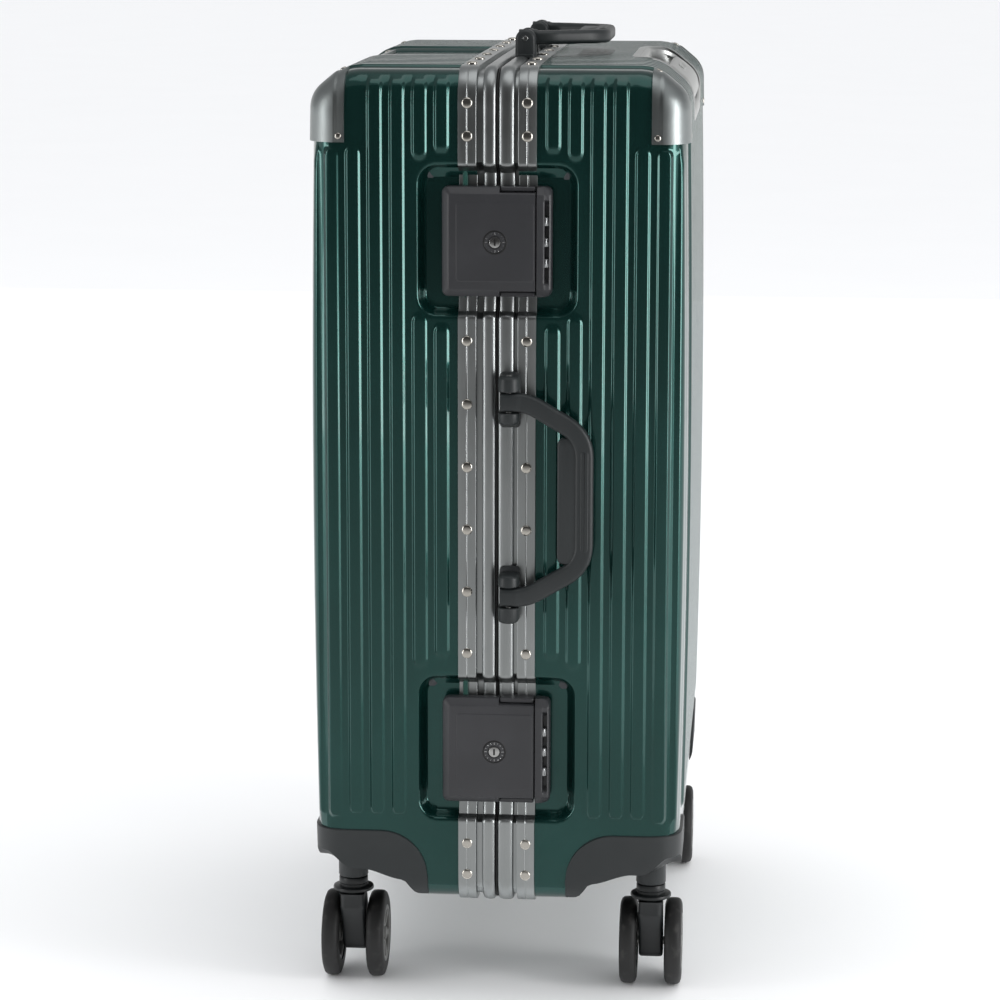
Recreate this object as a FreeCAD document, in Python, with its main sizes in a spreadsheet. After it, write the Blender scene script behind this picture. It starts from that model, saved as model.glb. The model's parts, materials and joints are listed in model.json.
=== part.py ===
"""Hard shell suitcase on wheels: two shells on aluminium frames, locks, handles, trolley and casters.

Millimetres. +Z is up, the origin is on the floor under the middle of the case. The locks and the
side handle are on +X, the hinges on -X. The front half is at -Y, the back half, which holds the
trolley, at +Y, and the two halves meet on the plane Y = 0.
"""
import FreeCAD, Part
import Sketcher
import math
import os

document = FreeCAD.newDocument("Suitcase")
sheet = document.addObject("Spreadsheet::Sheet", "sizes")
sheet_rows = []
parts = []


class Size:
    """A length as a spreadsheet expression, so that every use of it follows the sheet."""

    def __init__(self, text):
        self.text = str(text)

    def __str__(self):
        return self.text

    def __add__(self, other):
        return Size(f"({self} + {other})")

    def __radd__(self, other):
        return Size(f"({other} + {self})")

    def __sub__(self, other):
        return Size(f"({self} - {other})")

    def __rsub__(self, other):
        return Size(f"({other} - {self})")

    def __mul__(self, other):
        return Size(f"({self} * {other})")

    __rmul__ = __mul__

    def __truediv__(self, other):
        return Size(f"({self} / {other})")

    def __neg__(self):
        return Size(f"(0 - {self})")


def size(alias, value):
    """Put one driving dimension in the sheet and return the expression that reads it."""
    sheet_rows.append(alias)
    row = len(sheet_rows)
    sheet.set(f"A{row}", alias)
    sheet.set(f"B{row}", str(value))
    sheet.setAlias(f"B{row}", alias)
    return Size(f"sizes.{alias}")


# ---------------------------------------------------------------- driving dimensions: the case
width = size("case_width", 440)
depth = size("case_depth", 270)
wheel_radius = size("wheel_radius", 32)
shell_lift = size("shell_lift", 11)
shell_floor = wheel_radius * 2 + shell_lift
shell_height = size("shell_height", 602)
shell_wall = size("shell_wall", 2)
corner_radius = size("corner_radius", 22)
side_radius = size("side_radius", 20)
chamfer_depth = size("chamfer_depth", 24)
chamfer_height = size("chamfer_height", 20)
fit_gap = size("fit_gap", 0.3)
bearing_gap = size("bearing_gap", 0.05)

# the frame
split_gap = size("split_gap", 0.6)
lip_width = size("lip_width", 11.5)
shell_start = size("shell_start", 14.5)
frame_half = size("frame_half", 27.5)
frame_proud = size("frame_proud", 1.2)
frame_inside = size("frame_inside", 6)
frame_groove = size("frame_groove", 1.5)
seal_inset = size("seal_inset", 0.8)
seal_reach = size("seal_reach", 0.4)
rivet_radius = size("rivet_radius", 3.85)
rivet_crown = size("rivet_crown", 2.4)
rivet_height = size("rivet_height", 1.4)
rivet_row = size("rivet_row", 21)
rivet_pitch = size("rivet_pitch", 44.9)
rivet_pitch_across = size("rivet_pitch_across", 60)
rivet_from_top = size("rivet_from_top", 47)
rivet_from_corner = size("rivet_from_corner", 24)

# the lock recesses
recess_width = size("recess_width", 112)
recess_height = size("recess_height", 106)
recess_depth = size("recess_depth", 11)
recess_radius = size("recess_radius", 14)
lock_spacing = size("lock_spacing", 365)
lock_rise = size("lock_rise", -1.5)

# the locks
lock_half = size("lock_half", 38.5)
tray_height = size("tray_height", 5.8)
lever_gap = size("lever_gap", 0.4)
lever_top = size("lever_top", 16.8)
lever_plate = size("lever_plate", 4.5)
lever_skirt = size("lever_skirt", 2.5)
lever_barrel = size("lever_barrel", 5.3)
lever_pivot = size("lever_pivot", 21.8)
lever_end = size("lever_end", 0.9)
ear_height = size("ear_height", 4)
strip_start = size("strip_start", 27.5)
strip_top = size("strip_top", 15.8)
lever_pin_radius = size("lever_pin_radius", 2)
lever_pin_reach = size("lever_pin_reach", 5)
key_radius = size("key_radius", 8.5)
key_proud = size("key_proud", 0.3)
key_length = size("key_length", 8)
key_place = size("key_place", 1)
dial_radius = size("dial_radius", 4.2)
dial_width = size("dial_width", 6)
dial_pitch = size("dial_pitch", 14.5)
dial_axle = size("dial_axle", 1.2)
dial_place = size("dial_place", 33.2)
dial_proud = size("dial_proud", 0.5)
bolt_half = size("bolt_half", 7)
bolt_depth = size("bolt_depth", 3)
bolt_length = size("bolt_length", 16.4)
bolt_inset = size("bolt_inset", 1.6)
bolt_floor = size("bolt_floor", 1.3)
keeper_start = size("keeper_start", 2.5)
keeper_end = size("keeper_end", 9)
keeper_half = size("keeper_half", 11)
keeper_height = size("keeper_height", 6.8)
keeper_room = size("keeper_room", 1.5)
latch_wall = size("latch_wall", 0.8)

# hinges and feet on the hinge side
hinge_offset = size("hinge_offset", 14)
hinge_spacing = size("hinge_spacing", 347)
knuckle_radius = size("knuckle_radius", 4.5)
hinge_pin_radius = size("hinge_pin_radius", 2)
front_knuckle_half = size("front_knuckle_half", 7.8)
hinge_half = size("hinge_half", 22)
leaf_thickness = size("leaf_thickness", 1.5)
foot_radius = size("foot_radius", 11)
foot_height = size("foot_height", 12)
foot_place = size("foot_place", 72)
foot_spacing = size("foot_spacing", 440)

# corner guards and trim
guard_skin = size("guard_skin", 1.5)
guard_width = size("guard_width", 28)
guard_height = size("guard_height", 51)
guard_length = size("guard_length", 34)
trim_half = size("trim_half", 50)
trim_depth = size("trim_depth", 34)
trim_height = size("trim_height", 30)

# carry handles
handle_pitch = size("handle_pitch", 139)
handle_line = size("handle_line", 9.5)
handle_rise = size("handle_rise", 13)
handle_reach = size("handle_reach", 60)
handle_bar = size("handle_bar", 14)
handle_thickness = size("handle_thickness", 10)
handle_grip_half = size("handle_grip_half", 52)
handle_shoulder = size("handle_shoulder", 20)
lug_half = size("lug_half", 7)
lug_radius = size("lug_radius", 6)
ear_thickness = size("ear_thickness", 6)
ear_radius = size("ear_radius", 6.5)
bracket_base = size("bracket_base", 2)
bracket_half = size("bracket_half", 20)
bracket_width_half = size("bracket_width_half", 7.5)
handle_pin_radius = size("handle_pin_radius", 2)

# trolley
cup_half = size("cup_half", 86)
cup_front = size("cup_front", 46)
cup_floor = size("cup_floor", 44)
cup_wall = size("cup_wall", 2)
cup_radius = size("cup_radius", 16)
tube_spacing = size("tube_spacing", 120)
tube_line = size("tube_line", 24)
tube_width = size("tube_width", 18)
tube_depth = size("tube_depth", 12)
tube_wall = size("tube_wall", 1)
tube_gap = size("tube_gap", 0.25)
tube_floor = size("tube_floor", 75)
tube_step = size("tube_step", 5)
grip_half = size("grip_half", 78)
grip_front = size("grip_front", 38)
grip_sink = size("grip_sink", 0.5)
grip_height = size("grip_height", 26)
button_half = size("button_half", 16)
button_width = size("button_width", 9)
button_height = size("button_height", 4)
button_travel = size("button_travel", 2.5)
button_proud = size("button_proud", 0.6)

# casters and their housings
housing_height = size("housing_height", 54)
housing_top = shell_floor + housing_height
housing_inner_x = size("housing_inner_x", 128)
housing_inner_y = size("housing_inner_y", 50)
housing_radius = size("housing_radius", 34)
housing_wall = size("housing_wall", 3)
housing_proud = size("housing_proud", 1)
well_height = size("well_height", 18)
well_top = shell_floor + well_height
well_inner_x = size("well_inner_x", 140)
well_inner_y = size("well_inner_y", 76)
well_radius = size("well_radius", 16)
caster_x = size("caster_x", 170)
caster_y = size("caster_y", 110)
boss_radius = size("boss_radius", 15)
boss_lift = size("boss_lift", 6)
boss_floor = shell_floor + boss_lift
boss_height = size("boss_height", 26)
stem_radius = size("stem_radius", 6)
collar_radius = size("collar_radius", 10.5)
collar_height = size("collar_height", 10.7)
plate_radius = size("plate_radius", 14)
plate_height = size("plate_height", 4)
wheel_width = size("wheel_width", 13)
wheel_chamfer = size("wheel_chamfer", 2)
web_half = size("web_half", 9)
web_radius = size("web_radius", 12)
wheel_gap = size("wheel_gap", 1)
axle_radius = size("axle_radius", 3)
trail = size("trail", 14)

# linings
lining_gap = size("lining_gap", 0.5)
lining_skin = size("lining_skin", 1.2)
lining_back = size("lining_back", 48)
divider_inset = size("divider_inset", 6.5)
divider_place = size("divider_place", 22)
divider_skin = size("divider_skin", 2)
over = size("over", 20)

document.recompute()

half_width = width / 2
half_depth = depth / 2
shell_top = shell_floor + shell_height
middle = shell_floor + shell_height / 2
lock_middle = middle + lock_rise
lock_heights = {"upper": lock_middle + lock_spacing / 2, "lower": lock_middle - lock_spacing / 2}
lock_floor = half_width - recess_depth + frame_proud
sides = {"front": -1, "back": 1}
edges = {"lock": 1, "hinge": -1}


# ---------------------------------------------------------------- helpers
def bind(thing, values):
    for name, value in values.items():
        thing.setExpression(name, str(value))
    return thing


def place(thing, x, y, z):
    return bind(thing, {"Placement.Base.x": x, "Placement.Base.y": y, "Placement.Base.z": z})


def box(x_span, y_span, z_span):
    """A block between two coordinates on each axis."""
    block = document.addObject("Part::Box", "block")
    bind(block, {"Length": x_span[1] - x_span[0], "Width": y_span[1] - y_span[0]})
    bind(block, {"Height": z_span[1] - z_span[0]})
    return place(block, x_span[0], y_span[0], z_span[0])


TURNS = {
    "x": FreeCAD.Rotation(FreeCAD.Vector(0, 1, 0), 90),
    "y": FreeCAD.Rotation(FreeCAD.Vector(1, 0, 0), -90),
    "z": FreeCAD.Rotation(),
}
SKETCH_TURNS = {
    "x": FreeCAD.Rotation(FreeCAD.Vector(1, 1, 1), 120),
    "y": FreeCAD.Rotation(FreeCAD.Vector(1, 0, 0), 90),
    "z": FreeCAD.Rotation(),
}


def rod(axis, start, radius, length):
    """A cylinder from a start point along +axis."""
    cylinder = document.addObject("Part::Cylinder", "rod")
    cylinder.Placement = FreeCAD.Placement(FreeCAD.Vector(), TURNS[axis])
    bind(cylinder, {"Radius": radius, "Height": length})
    return place(cylinder, *start)


def taper(axis, flip, start, radius, end_radius, length):
    """A cone frustum from a start point along the axis, backwards if flip is -1."""
    cone = document.addObject("Part::Cone", "taper")
    turn = TURNS[axis]
    if flip < 0:
        turn = turn.multiply(FreeCAD.Rotation(FreeCAD.Vector(1, 0, 0), 180))
    cone.Placement = FreeCAD.Placement(FreeCAD.Vector(), turn)
    bind(cone, {"Radius1": radius, "Radius2": end_radius, "Height": length})
    return place(cone, *start)


def extrude(sketch, axis, span):
    """Pad a sketch between two coordinates on its axis."""
    sketch.Placement = FreeCAD.Placement(FreeCAD.Vector(), SKETCH_TURNS[axis])
    start = span[1] if axis == "y" else span[0]
    bind(sketch, {f"Placement.Base.{axis}": start})
    solid = document.addObject("Part::Extrusion", "prism")
    solid.Base = sketch
    solid.DirMode = "Normal"
    solid.Solid = True
    return bind(solid, {"LengthFwd": span[1] - span[0]})


def value_of(expression):
    """The present number of an expression, used only to start a sketch near its solution."""
    result = sheet.evalExpression(str(expression).replace("sizes.", ""))
    return float(getattr(result, "Value", result))


def rounded_prism(axis, u_span, v_span, radius, span):
    """A prism whose section is a rectangle with four equal round corners."""
    sketch = document.addObject("Sketcher::SketchObject", "outline")
    low_u, high_u = value_of(u_span[0]), value_of(u_span[1])
    low_v, high_v = value_of(v_span[0]), value_of(v_span[1])
    round_now = value_of(radius)
    corners = [(high_u - round_now, high_v - round_now, 0), (low_u + round_now, high_v - round_now, 90)]
    corners += [(low_u + round_now, low_v + round_now, 180), (high_u - round_now, low_v + round_now, 270)]
    ends = []
    for centre_u, centre_v, angle in corners:
        circle = Part.Circle(FreeCAD.Vector(centre_u, centre_v, 0), FreeCAD.Vector(0, 0, 1), round_now)
        arc = Part.ArcOfCircle(circle, math.radians(angle), math.radians(angle + 90))
        sketch.addGeometry(arc, False)
        ends.append((arc.StartPoint, arc.EndPoint))
    for index in range(4):
        line = Part.LineSegment(ends[index][1], ends[(index + 1) % 4][0])
        sketch.addGeometry(line, False)
    constrain = Sketcher.Constraint
    for index in range(4):
        sketch.addConstraint(constrain("Tangent", index, 2, 4 + index, 1))
        sketch.addConstraint(constrain("Tangent", 4 + index, 2, (index + 1) % 4, 1))
    for index, direction in ((4, "Horizontal"), (5, "Vertical"), (6, "Horizontal"), (7, "Vertical")):
        sketch.addConstraint(constrain(direction, index))
    for index in (1, 2, 3):
        sketch.addConstraint(constrain("Equal", 0, index))
    radius_row = sketch.addConstraint(constrain("Radius", 0, round_now))
    rows = {
        radius_row: radius,
        sketch.addConstraint(constrain("DistanceX", -1, 1, 0, 1, high_u)): u_span[1],
        sketch.addConstraint(constrain("DistanceX", -1, 1, 2, 1, low_u)): u_span[0],
        sketch.addConstraint(constrain("DistanceY", -1, 1, 1, 1, high_v)): v_span[1],
        sketch.addConstraint(constrain("DistanceY", -1, 1, 3, 1, low_v)): v_span[0],
    }
    for row, expression in rows.items():
        sketch.setExpression(f"Constraints[{row}]", str(expression))
    return extrude(sketch, axis, span)


def polygon_prism(axis, points, span):
    """A prism whose section is a closed outline of straight lines through the given points."""
    sketch = document.addObject("Sketcher::SketchObject", "outline")
    now = [FreeCAD.Vector(value_of(u), value_of(v), 0) for u, v in points]
    count = len(points)
    for index in range(count):
        sketch.addGeometry(Part.LineSegment(now[index], now[(index + 1) % count]), False)
    for index in range(count):
        sketch.addConstraint(Sketcher.Constraint("Coincident", index, 2, (index + 1) % count, 1))
    for index, (u, v) in enumerate(points):
        across = sketch.addConstraint(Sketcher.Constraint("DistanceX", -1, 1, index, 1, now[index].x))
        up = sketch.addConstraint(Sketcher.Constraint("DistanceY", -1, 1, index, 1, now[index].y))
        sketch.setExpression(f"Constraints[{across}]", str(u))
        sketch.setExpression(f"Constraints[{up}]", str(v))
    return extrude(sketch, axis, span)


def cut(base, *tools):
    """The base with every tool taken away."""
    for tool in tools:
        result = document.addObject("Part::Cut", "cut")
        result.Base = base
        result.Tool = tool
        base = result
    return base


def fuse(*shapes):
    result = document.addObject("Part::MultiFuse", "joined")
    result.Shapes = list(shapes)
    return result


def common(*shapes):
    result = document.addObject("Part::MultiCommon", "shared")
    result.Shapes = list(shapes)
    return result


def group(*shapes):
    """Separate solids of one kind, kept together in one sub-part."""
    result = document.addObject("Part::Compound", "set")
    result.Links = list(shapes)
    return result


def part(name, shape):
    """Give a finished sub-part the name of its file."""
    shape.Label = name
    parts.append(shape)
    return shape


def minmax(sign, near, far):
    """The two coordinates of a span that lies on the given side of zero."""
    return (near, far) if sign > 0 else (-far, -near)


# ---------------------------------------------------------------- the case as plain solids
def case_ring(grow, y_span):
    """The case's rounded front outline, grown or shrunk, as a slab."""
    return rounded_prism("y", (-half_width - grow, half_width + grow),
                         (shell_floor - grow, shell_top + grow), corner_radius + grow, y_span)


def case_solid(grow):
    """The whole case's outer form, grown or shrunk, with rounded sides and bevelled ends."""
    reach = half_depth + grow
    top = shell_top + grow
    bottom = shell_floor - grow
    front = case_ring(grow, (-reach, reach))
    plan = rounded_prism("z", (-half_width - grow, half_width + grow), (-reach, reach),
                         side_radius + grow, (bottom, top))
    side = [(reach, bottom + chamfer_height), (reach, top - chamfer_height), (reach - chamfer_depth, top),
            (-reach + chamfer_depth, top), (-reach, top - chamfer_height), (-reach, bottom + chamfer_height),
            (-reach + chamfer_depth, bottom), (reach - chamfer_depth, bottom)]
    profile = polygon_prism("x", side, (-half_width - over, half_width + over))
    return common(front, plan, profile)


def lock_recess(height, grow):
    """The hollow that one lock sits in, grown outwards on its sides and floor."""
    return rounded_prism("x", (-recess_width / 2 - grow, recess_width / 2 + grow),
                         (height - recess_height / 2 - grow, height + recess_height / 2 + grow),
                         recess_radius + grow, (half_width - recess_depth - grow, half_width + over))


def lock_recesses(grow):
    return [lock_recess(height, grow) for height in lock_heights.values()]


def corner_region(edge, side, inner_x, inner_y, top, radius, grow):
    """The space at one lower corner of the case, with round upper inner edges."""
    x_span = minmax(edge, inner_x - grow, half_width + over)
    y_span = minmax(side, inner_y - grow, half_depth + over)
    z_span = (shell_floor - over - over, top + grow)
    long_way = rounded_prism("x", y_span, z_span, radius, x_span)
    short_way = rounded_prism("y", x_span, z_span, radius, y_span)
    return common(long_way, short_way)


def housing_region(edge, side, grow):
    return corner_region(edge, side, housing_inner_x, housing_inner_y, housing_top, housing_radius, grow)


def wheel_well(edge, side, grow):
    return corner_region(edge, side, well_inner_x, well_inner_y, well_top, well_radius, grow)


def half_slab(side, near, far):
    """A block that holds one half of the case between two distances from the split."""
    return box((-half_width - over, half_width + over), minmax(side, near, far),
               (shell_floor - over, shell_top + over))


# ---------------------------------------------------------------- shells, frames and seal
outer_case = case_solid(Size(0))
shell_outside = cut(outer_case, *lock_recesses(Size(0)))
shell_inside = cut(case_solid(-shell_wall), *lock_recesses(shell_wall))
cup_span = ((-cup_half, cup_half), (half_depth - cup_front, half_depth + over))
cup_block = rounded_prism("z", *cup_span, cup_radius, (shell_top - cup_floor, shell_top + over))

frame_outside = cut(case_ring(frame_proud, (-frame_half, frame_half)), *lock_recesses(-frame_proud))
frame_hollow = cut(case_ring(-frame_inside, (-frame_half, frame_half)), *lock_recesses(frame_inside))
frame_ring = cut(frame_outside, frame_hollow)

shells = {}
for name, side in sides.items():
    corners = [housing_region(edge, side, Size(0)) for edge in edges.values()]
    slab = half_slab(side, shell_start, half_depth + over)
    shell = cut(common(cut(shell_outside, shell_inside), slab), *corners)
    shells[name] = cut(shell, cup_block) if name == "back" else shell
    part(f"{name}_shell", shells[name])
    groove = cut(case_ring(frame_proud + frame_proud, minmax(side, lip_width, shell_start)),
                 case_ring(-frame_groove, minmax(side, lip_width, shell_start)))
    half_ring = common(frame_ring, half_slab(side, split_gap, frame_half))
    part(f"{name}_frame", cut(half_ring, shells[name], groove))

seal_outside = cut(case_ring(-seal_inset, (-seal_reach, split_gap)), *lock_recesses(seal_inset))
seal_inside = cut(case_ring(-frame_inside, (-seal_reach, split_gap)), *lock_recesses(frame_inside))
part("frame_seal", cut(seal_outside, seal_inside))


# ---------------------------------------------------------------- rivets on the frame bands
side_offsets = [0, 45, 90, 135, 215, 255]
across_counts = [-3, -2, -1, 0, 1, 2, 3]
between_locks = [0, 1, 2, 3, 4, 5]
handle_middle = middle + lock_rise + Size(2)
for name, side in sides.items():
    rivets = []
    face = half_width + frame_proud
    first = lock_heights["upper"] - recess_height / 2 - Size(17)
    heights = [shell_top - rivet_from_top, shell_top - rivet_from_corner]
    heights += [shell_floor + rivet_from_top, shell_floor + rivet_from_corner]
    hidden = (1, 4) if name == "back" else ()
    heights += [first - rivet_pitch * count for count in between_locks if count not in hidden]
    for height in heights:
        rivet_foot = (face, side * rivet_row, height)
        rivets.append(taper("x", 1, rivet_foot, rivet_radius, rivet_crown, rivet_height))
    for offset in side_offsets:
        for direction in ((1, -1) if offset else (1,)):
            start = (-face, side * rivet_row, middle + direction * offset)
            rivets.append(taper("x", -1, start, rivet_radius, rivet_crown, rivet_height))
    for count in across_counts:
        above = (count * rivet_pitch_across, side * rivet_row, shell_top + frame_proud)
        below = (count * rivet_pitch_across, side * rivet_row, shell_floor - frame_proud)
        rivets.append(taper("z", 1, above, rivet_radius, rivet_crown, rivet_height))
        rivets.append(taper("z", -1, below, rivet_radius, rivet_crown, rivet_height))
    part(f"{name}_rivets", group(*rivets))


# ---------------------------------------------------------------- corner guards and trim plate
guard_case = cut(case_solid(guard_skin), outer_case)
for name, side in sides.items():
    guards = []
    for edge in edges.values():
        x_span = minmax(edge, half_width - guard_length, half_width + over)
        y_span = minmax(side, half_depth - guard_width, half_depth + over)
        guards.append(common(guard_case, box(x_span, y_span, (shell_top - guard_height, shell_top + over))))
    part(f"{name}_corner_guards", group(*guards))
trim_block = box((-trim_half, trim_half), (-half_depth - over, -half_depth + trim_depth),
                 (shell_top - trim_height, shell_top + over))
part("front_trim_plate", common(guard_case, trim_block))


# ---------------------------------------------------------------- hinges and feet
hinge_line = -half_width - hinge_offset
hinge_heights = [middle - hinge_spacing / 2, middle + hinge_spacing / 2]
leaf_face = half_width + frame_proud
hinge_pins = []
hinge_leaves = {"front": [], "back": []}
for height in hinge_heights:
    bottom = height - hinge_half
    hinge_pins.append(rod("z", (hinge_line, Size(0), bottom), hinge_pin_radius, hinge_half * 2))
    bore = rod("z", (hinge_line, Size(0), bottom - over), hinge_pin_radius + bearing_gap,
               hinge_half * 2 + over * 2)
    ranges = {
        "front": [(height - front_knuckle_half, height + front_knuckle_half)],
        "back": [(bottom, height - front_knuckle_half - fit_gap),
                 (height + front_knuckle_half + fit_gap, height + hinge_half)],
    }
    for name, side in sides.items():
        pieces = [box((-leaf_face - leaf_thickness, -leaf_face), minmax(side, split_gap, frame_half),
                      (bottom, height + hinge_half))]
        for low, high in ranges[name]:
            knuckle = rod("z", (hinge_line, Size(0), low), knuckle_radius, high - low)
            web = box((hinge_line, -leaf_face), minmax(side, split_gap, knuckle_radius), (low, high))
            pieces += [knuckle, web]
        hinge_leaves[name].append(cut(fuse(*pieces), bore))
for name in sides:
    part(f"{name}_hinge_leaves", group(*hinge_leaves[name]))

for name, side in sides.items():
    feet = []
    for direction in (-1, 1):
        start = (-half_width - foot_height, side * foot_place, middle + direction * foot_spacing / 2)
        feet.append(rod("x", start, foot_radius, foot_height))
    part(f"{name}_feet", group(*feet))


# ---------------------------------------------------------------- carry handles
def handle_outline():
    """Half of the handle's plan as (away from the pivot, along the pivot), pivot at zero."""
    root = handle_pitch / 2
    outer = [(Size(0), root + lug_half), (handle_shoulder, root + lug_half),
             (handle_reach, handle_grip_half)]
    inner = [(handle_reach - handle_bar, handle_grip_half - handle_bar / 2),
             (handle_shoulder, root - lug_half), (Size(0), root - lug_half)]
    return outer, inner


def handle_points():
    outer, inner = handle_outline()
    down = [(u, -v) for u, v in reversed(outer)]
    return outer + down + [(u, -v) for u, v in reversed(inner)] + inner


def carry_handle(axis_middle, face, axis):
    """One handle, its brackets and pins, on the side (axis z) or on the top (axis x)."""
    line = face + handle_rise
    brackets = []
    pins = []
    lugs = []

    def point(along, out):
        return (out, handle_line, along) if axis == "z" else (along, handle_line, out)

    def block(along, out, half_across):
        y_span = (handle_line - half_across, handle_line + half_across)
        return box(out, y_span, along) if axis == "z" else box(along, y_span, out)

    pin_half = lug_half + fit_gap + ear_thickness
    bores = []
    for direction in (-1, 1):
        centre = axis_middle + direction * handle_pitch / 2
        pins.append(rod(axis, point(centre - pin_half, line), handle_pin_radius, pin_half * 2))
        bores.append(rod(axis, point(centre - pin_half, line), handle_pin_radius + bearing_gap,
                         pin_half * 2))
        base = block((centre - bracket_half, centre + bracket_half), (face, face + bracket_base),
                     bracket_width_half)
        pieces = [base]
        for ear in (-1, 1):
            low = centre + lug_half + fit_gap if ear > 0 else centre - pin_half
            pieces.append(rod(axis, point(low, line), ear_radius, ear_thickness))
            pieces.append(block((low, low + ear_thickness), (face, line), ear_radius))
        brackets.append(cut(fuse(*pieces), pins[-1]))
        lugs.append(rod(axis, point(centre - lug_half, line), lug_radius, lug_half * 2))
    out_span = (line - handle_thickness / 2, line + handle_thickness / 2)
    points = [(handle_line + u, axis_middle + v) for u, v in handle_points()]
    if axis == "x":
        points = [(v, u) for u, v in points]
    bow = polygon_prism("x" if axis == "z" else "z", points, out_span)
    return cut(fuse(bow, *lugs), *bores), brackets, pins


side_face = half_width + frame_proud
top_face = shell_top + frame_proud
side_handle, side_brackets, side_pins = carry_handle(handle_middle, side_face, "z")
top_handle, top_brackets, top_pins = carry_handle(Size(0), top_face, "x")
part("side_handle", side_handle)
part("top_handle", top_handle)
part("handle_brackets", group(*side_brackets, *top_brackets))
part("pivot_pins", group(*hinge_pins, *side_pins, *top_pins))


# ---------------------------------------------------------------- trolley
cup_hollow = rounded_prism("z", (cup_wall - cup_half, cup_half - cup_wall),
                           (half_depth - cup_front + cup_wall, half_depth + over + over),
                           cup_radius - cup_wall, (shell_top - cup_floor + cup_wall, shell_top + over))
tube_middle = half_depth - tube_line
tube_top = shell_top - cup_floor + cup_wall


def tube_block(edge, shrink, z_span):
    centre = edge * tube_spacing / 2
    x_span = (centre - tube_width / 2 + shrink, centre + tube_width / 2 - shrink)
    y_span = (tube_middle - tube_depth / 2 + shrink, tube_middle + tube_depth / 2 - shrink)
    return box(x_span, y_span, z_span)


def tube_pair(stage, z_span):
    """Two hollow tubes; each stage slides inside the one before it."""
    shrink = stage * (tube_wall + tube_gap)
    pair = []
    for edge in edges.values():
        outside = tube_block(edge, shrink, z_span)
        inside = tube_block(edge, shrink + tube_wall, (z_span[0] - over, z_span[1] + over))
        pair.append(cut(outside, inside))
    return group(*pair)


tube_bottom = shell_floor + tube_floor
grip_bottom = shell_top - grip_height
tube_holes = [tube_block(edge, Size(0), (tube_bottom, tube_top)) for edge in edges.values()]
part("trolley_cup", cut(common(cup_block, outer_case), cup_hollow, *tube_holes))
part("trolley_outer_tubes", tube_pair(Size(0), (tube_bottom, tube_top)))
part("trolley_middle_tubes", tube_pair(Size(1), (tube_bottom + tube_step, tube_top - fit_gap)))
part("trolley_inner_tubes", tube_pair(Size(2), (tube_bottom + tube_step * 2, grip_bottom)))

grip_back = half_depth - grip_sink
grip_top = shell_top - grip_sink
grip_points = [(half_depth - grip_front, grip_bottom), (grip_back, grip_bottom),
               (grip_back, grip_top - chamfer_height), (grip_back - chamfer_depth, grip_top),
               (half_depth - grip_front, grip_top)]
grip_bar = polygon_prism("x", grip_points, (-grip_half, grip_half))


def on_bevel(shape_half, across, low, high):
    """A block standing on the middle of the grip's bevelled face, between two depths."""
    block = document.addObject("Part::Box", "bevel_block")
    block.Placement = FreeCAD.Placement(FreeCAD.Vector(), FreeCAD.Rotation(FreeCAD.Vector(-1, 0, 0), 1))
    slope = f"atan({chamfer_height} / {chamfer_depth})"
    bind(block, {"Length": shape_half * 2, "Width": across, "Height": high - low})
    bind(block, {"Placement.Rotation.Angle": slope})
    y_middle = grip_back - chamfer_depth / 2
    z_middle = grip_top - chamfer_height / 2
    y_start = f"{y_middle} - cos({slope}) * {across} / 2 + sin({slope}) * {low}"
    z_start = f"{z_middle} + sin({slope}) * {across} / 2 + cos({slope}) * {low}"
    return place(block, -shape_half, y_start, z_start)


button_seat = on_bevel(button_half + fit_gap, button_width + fit_gap * 2,
                       button_proud - button_height - button_travel - fit_gap, over)
part("trolley_grip", cut(grip_bar, button_seat))
part("trolley_button", on_bevel(button_half, button_width, button_proud - button_height, button_proud))


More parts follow.
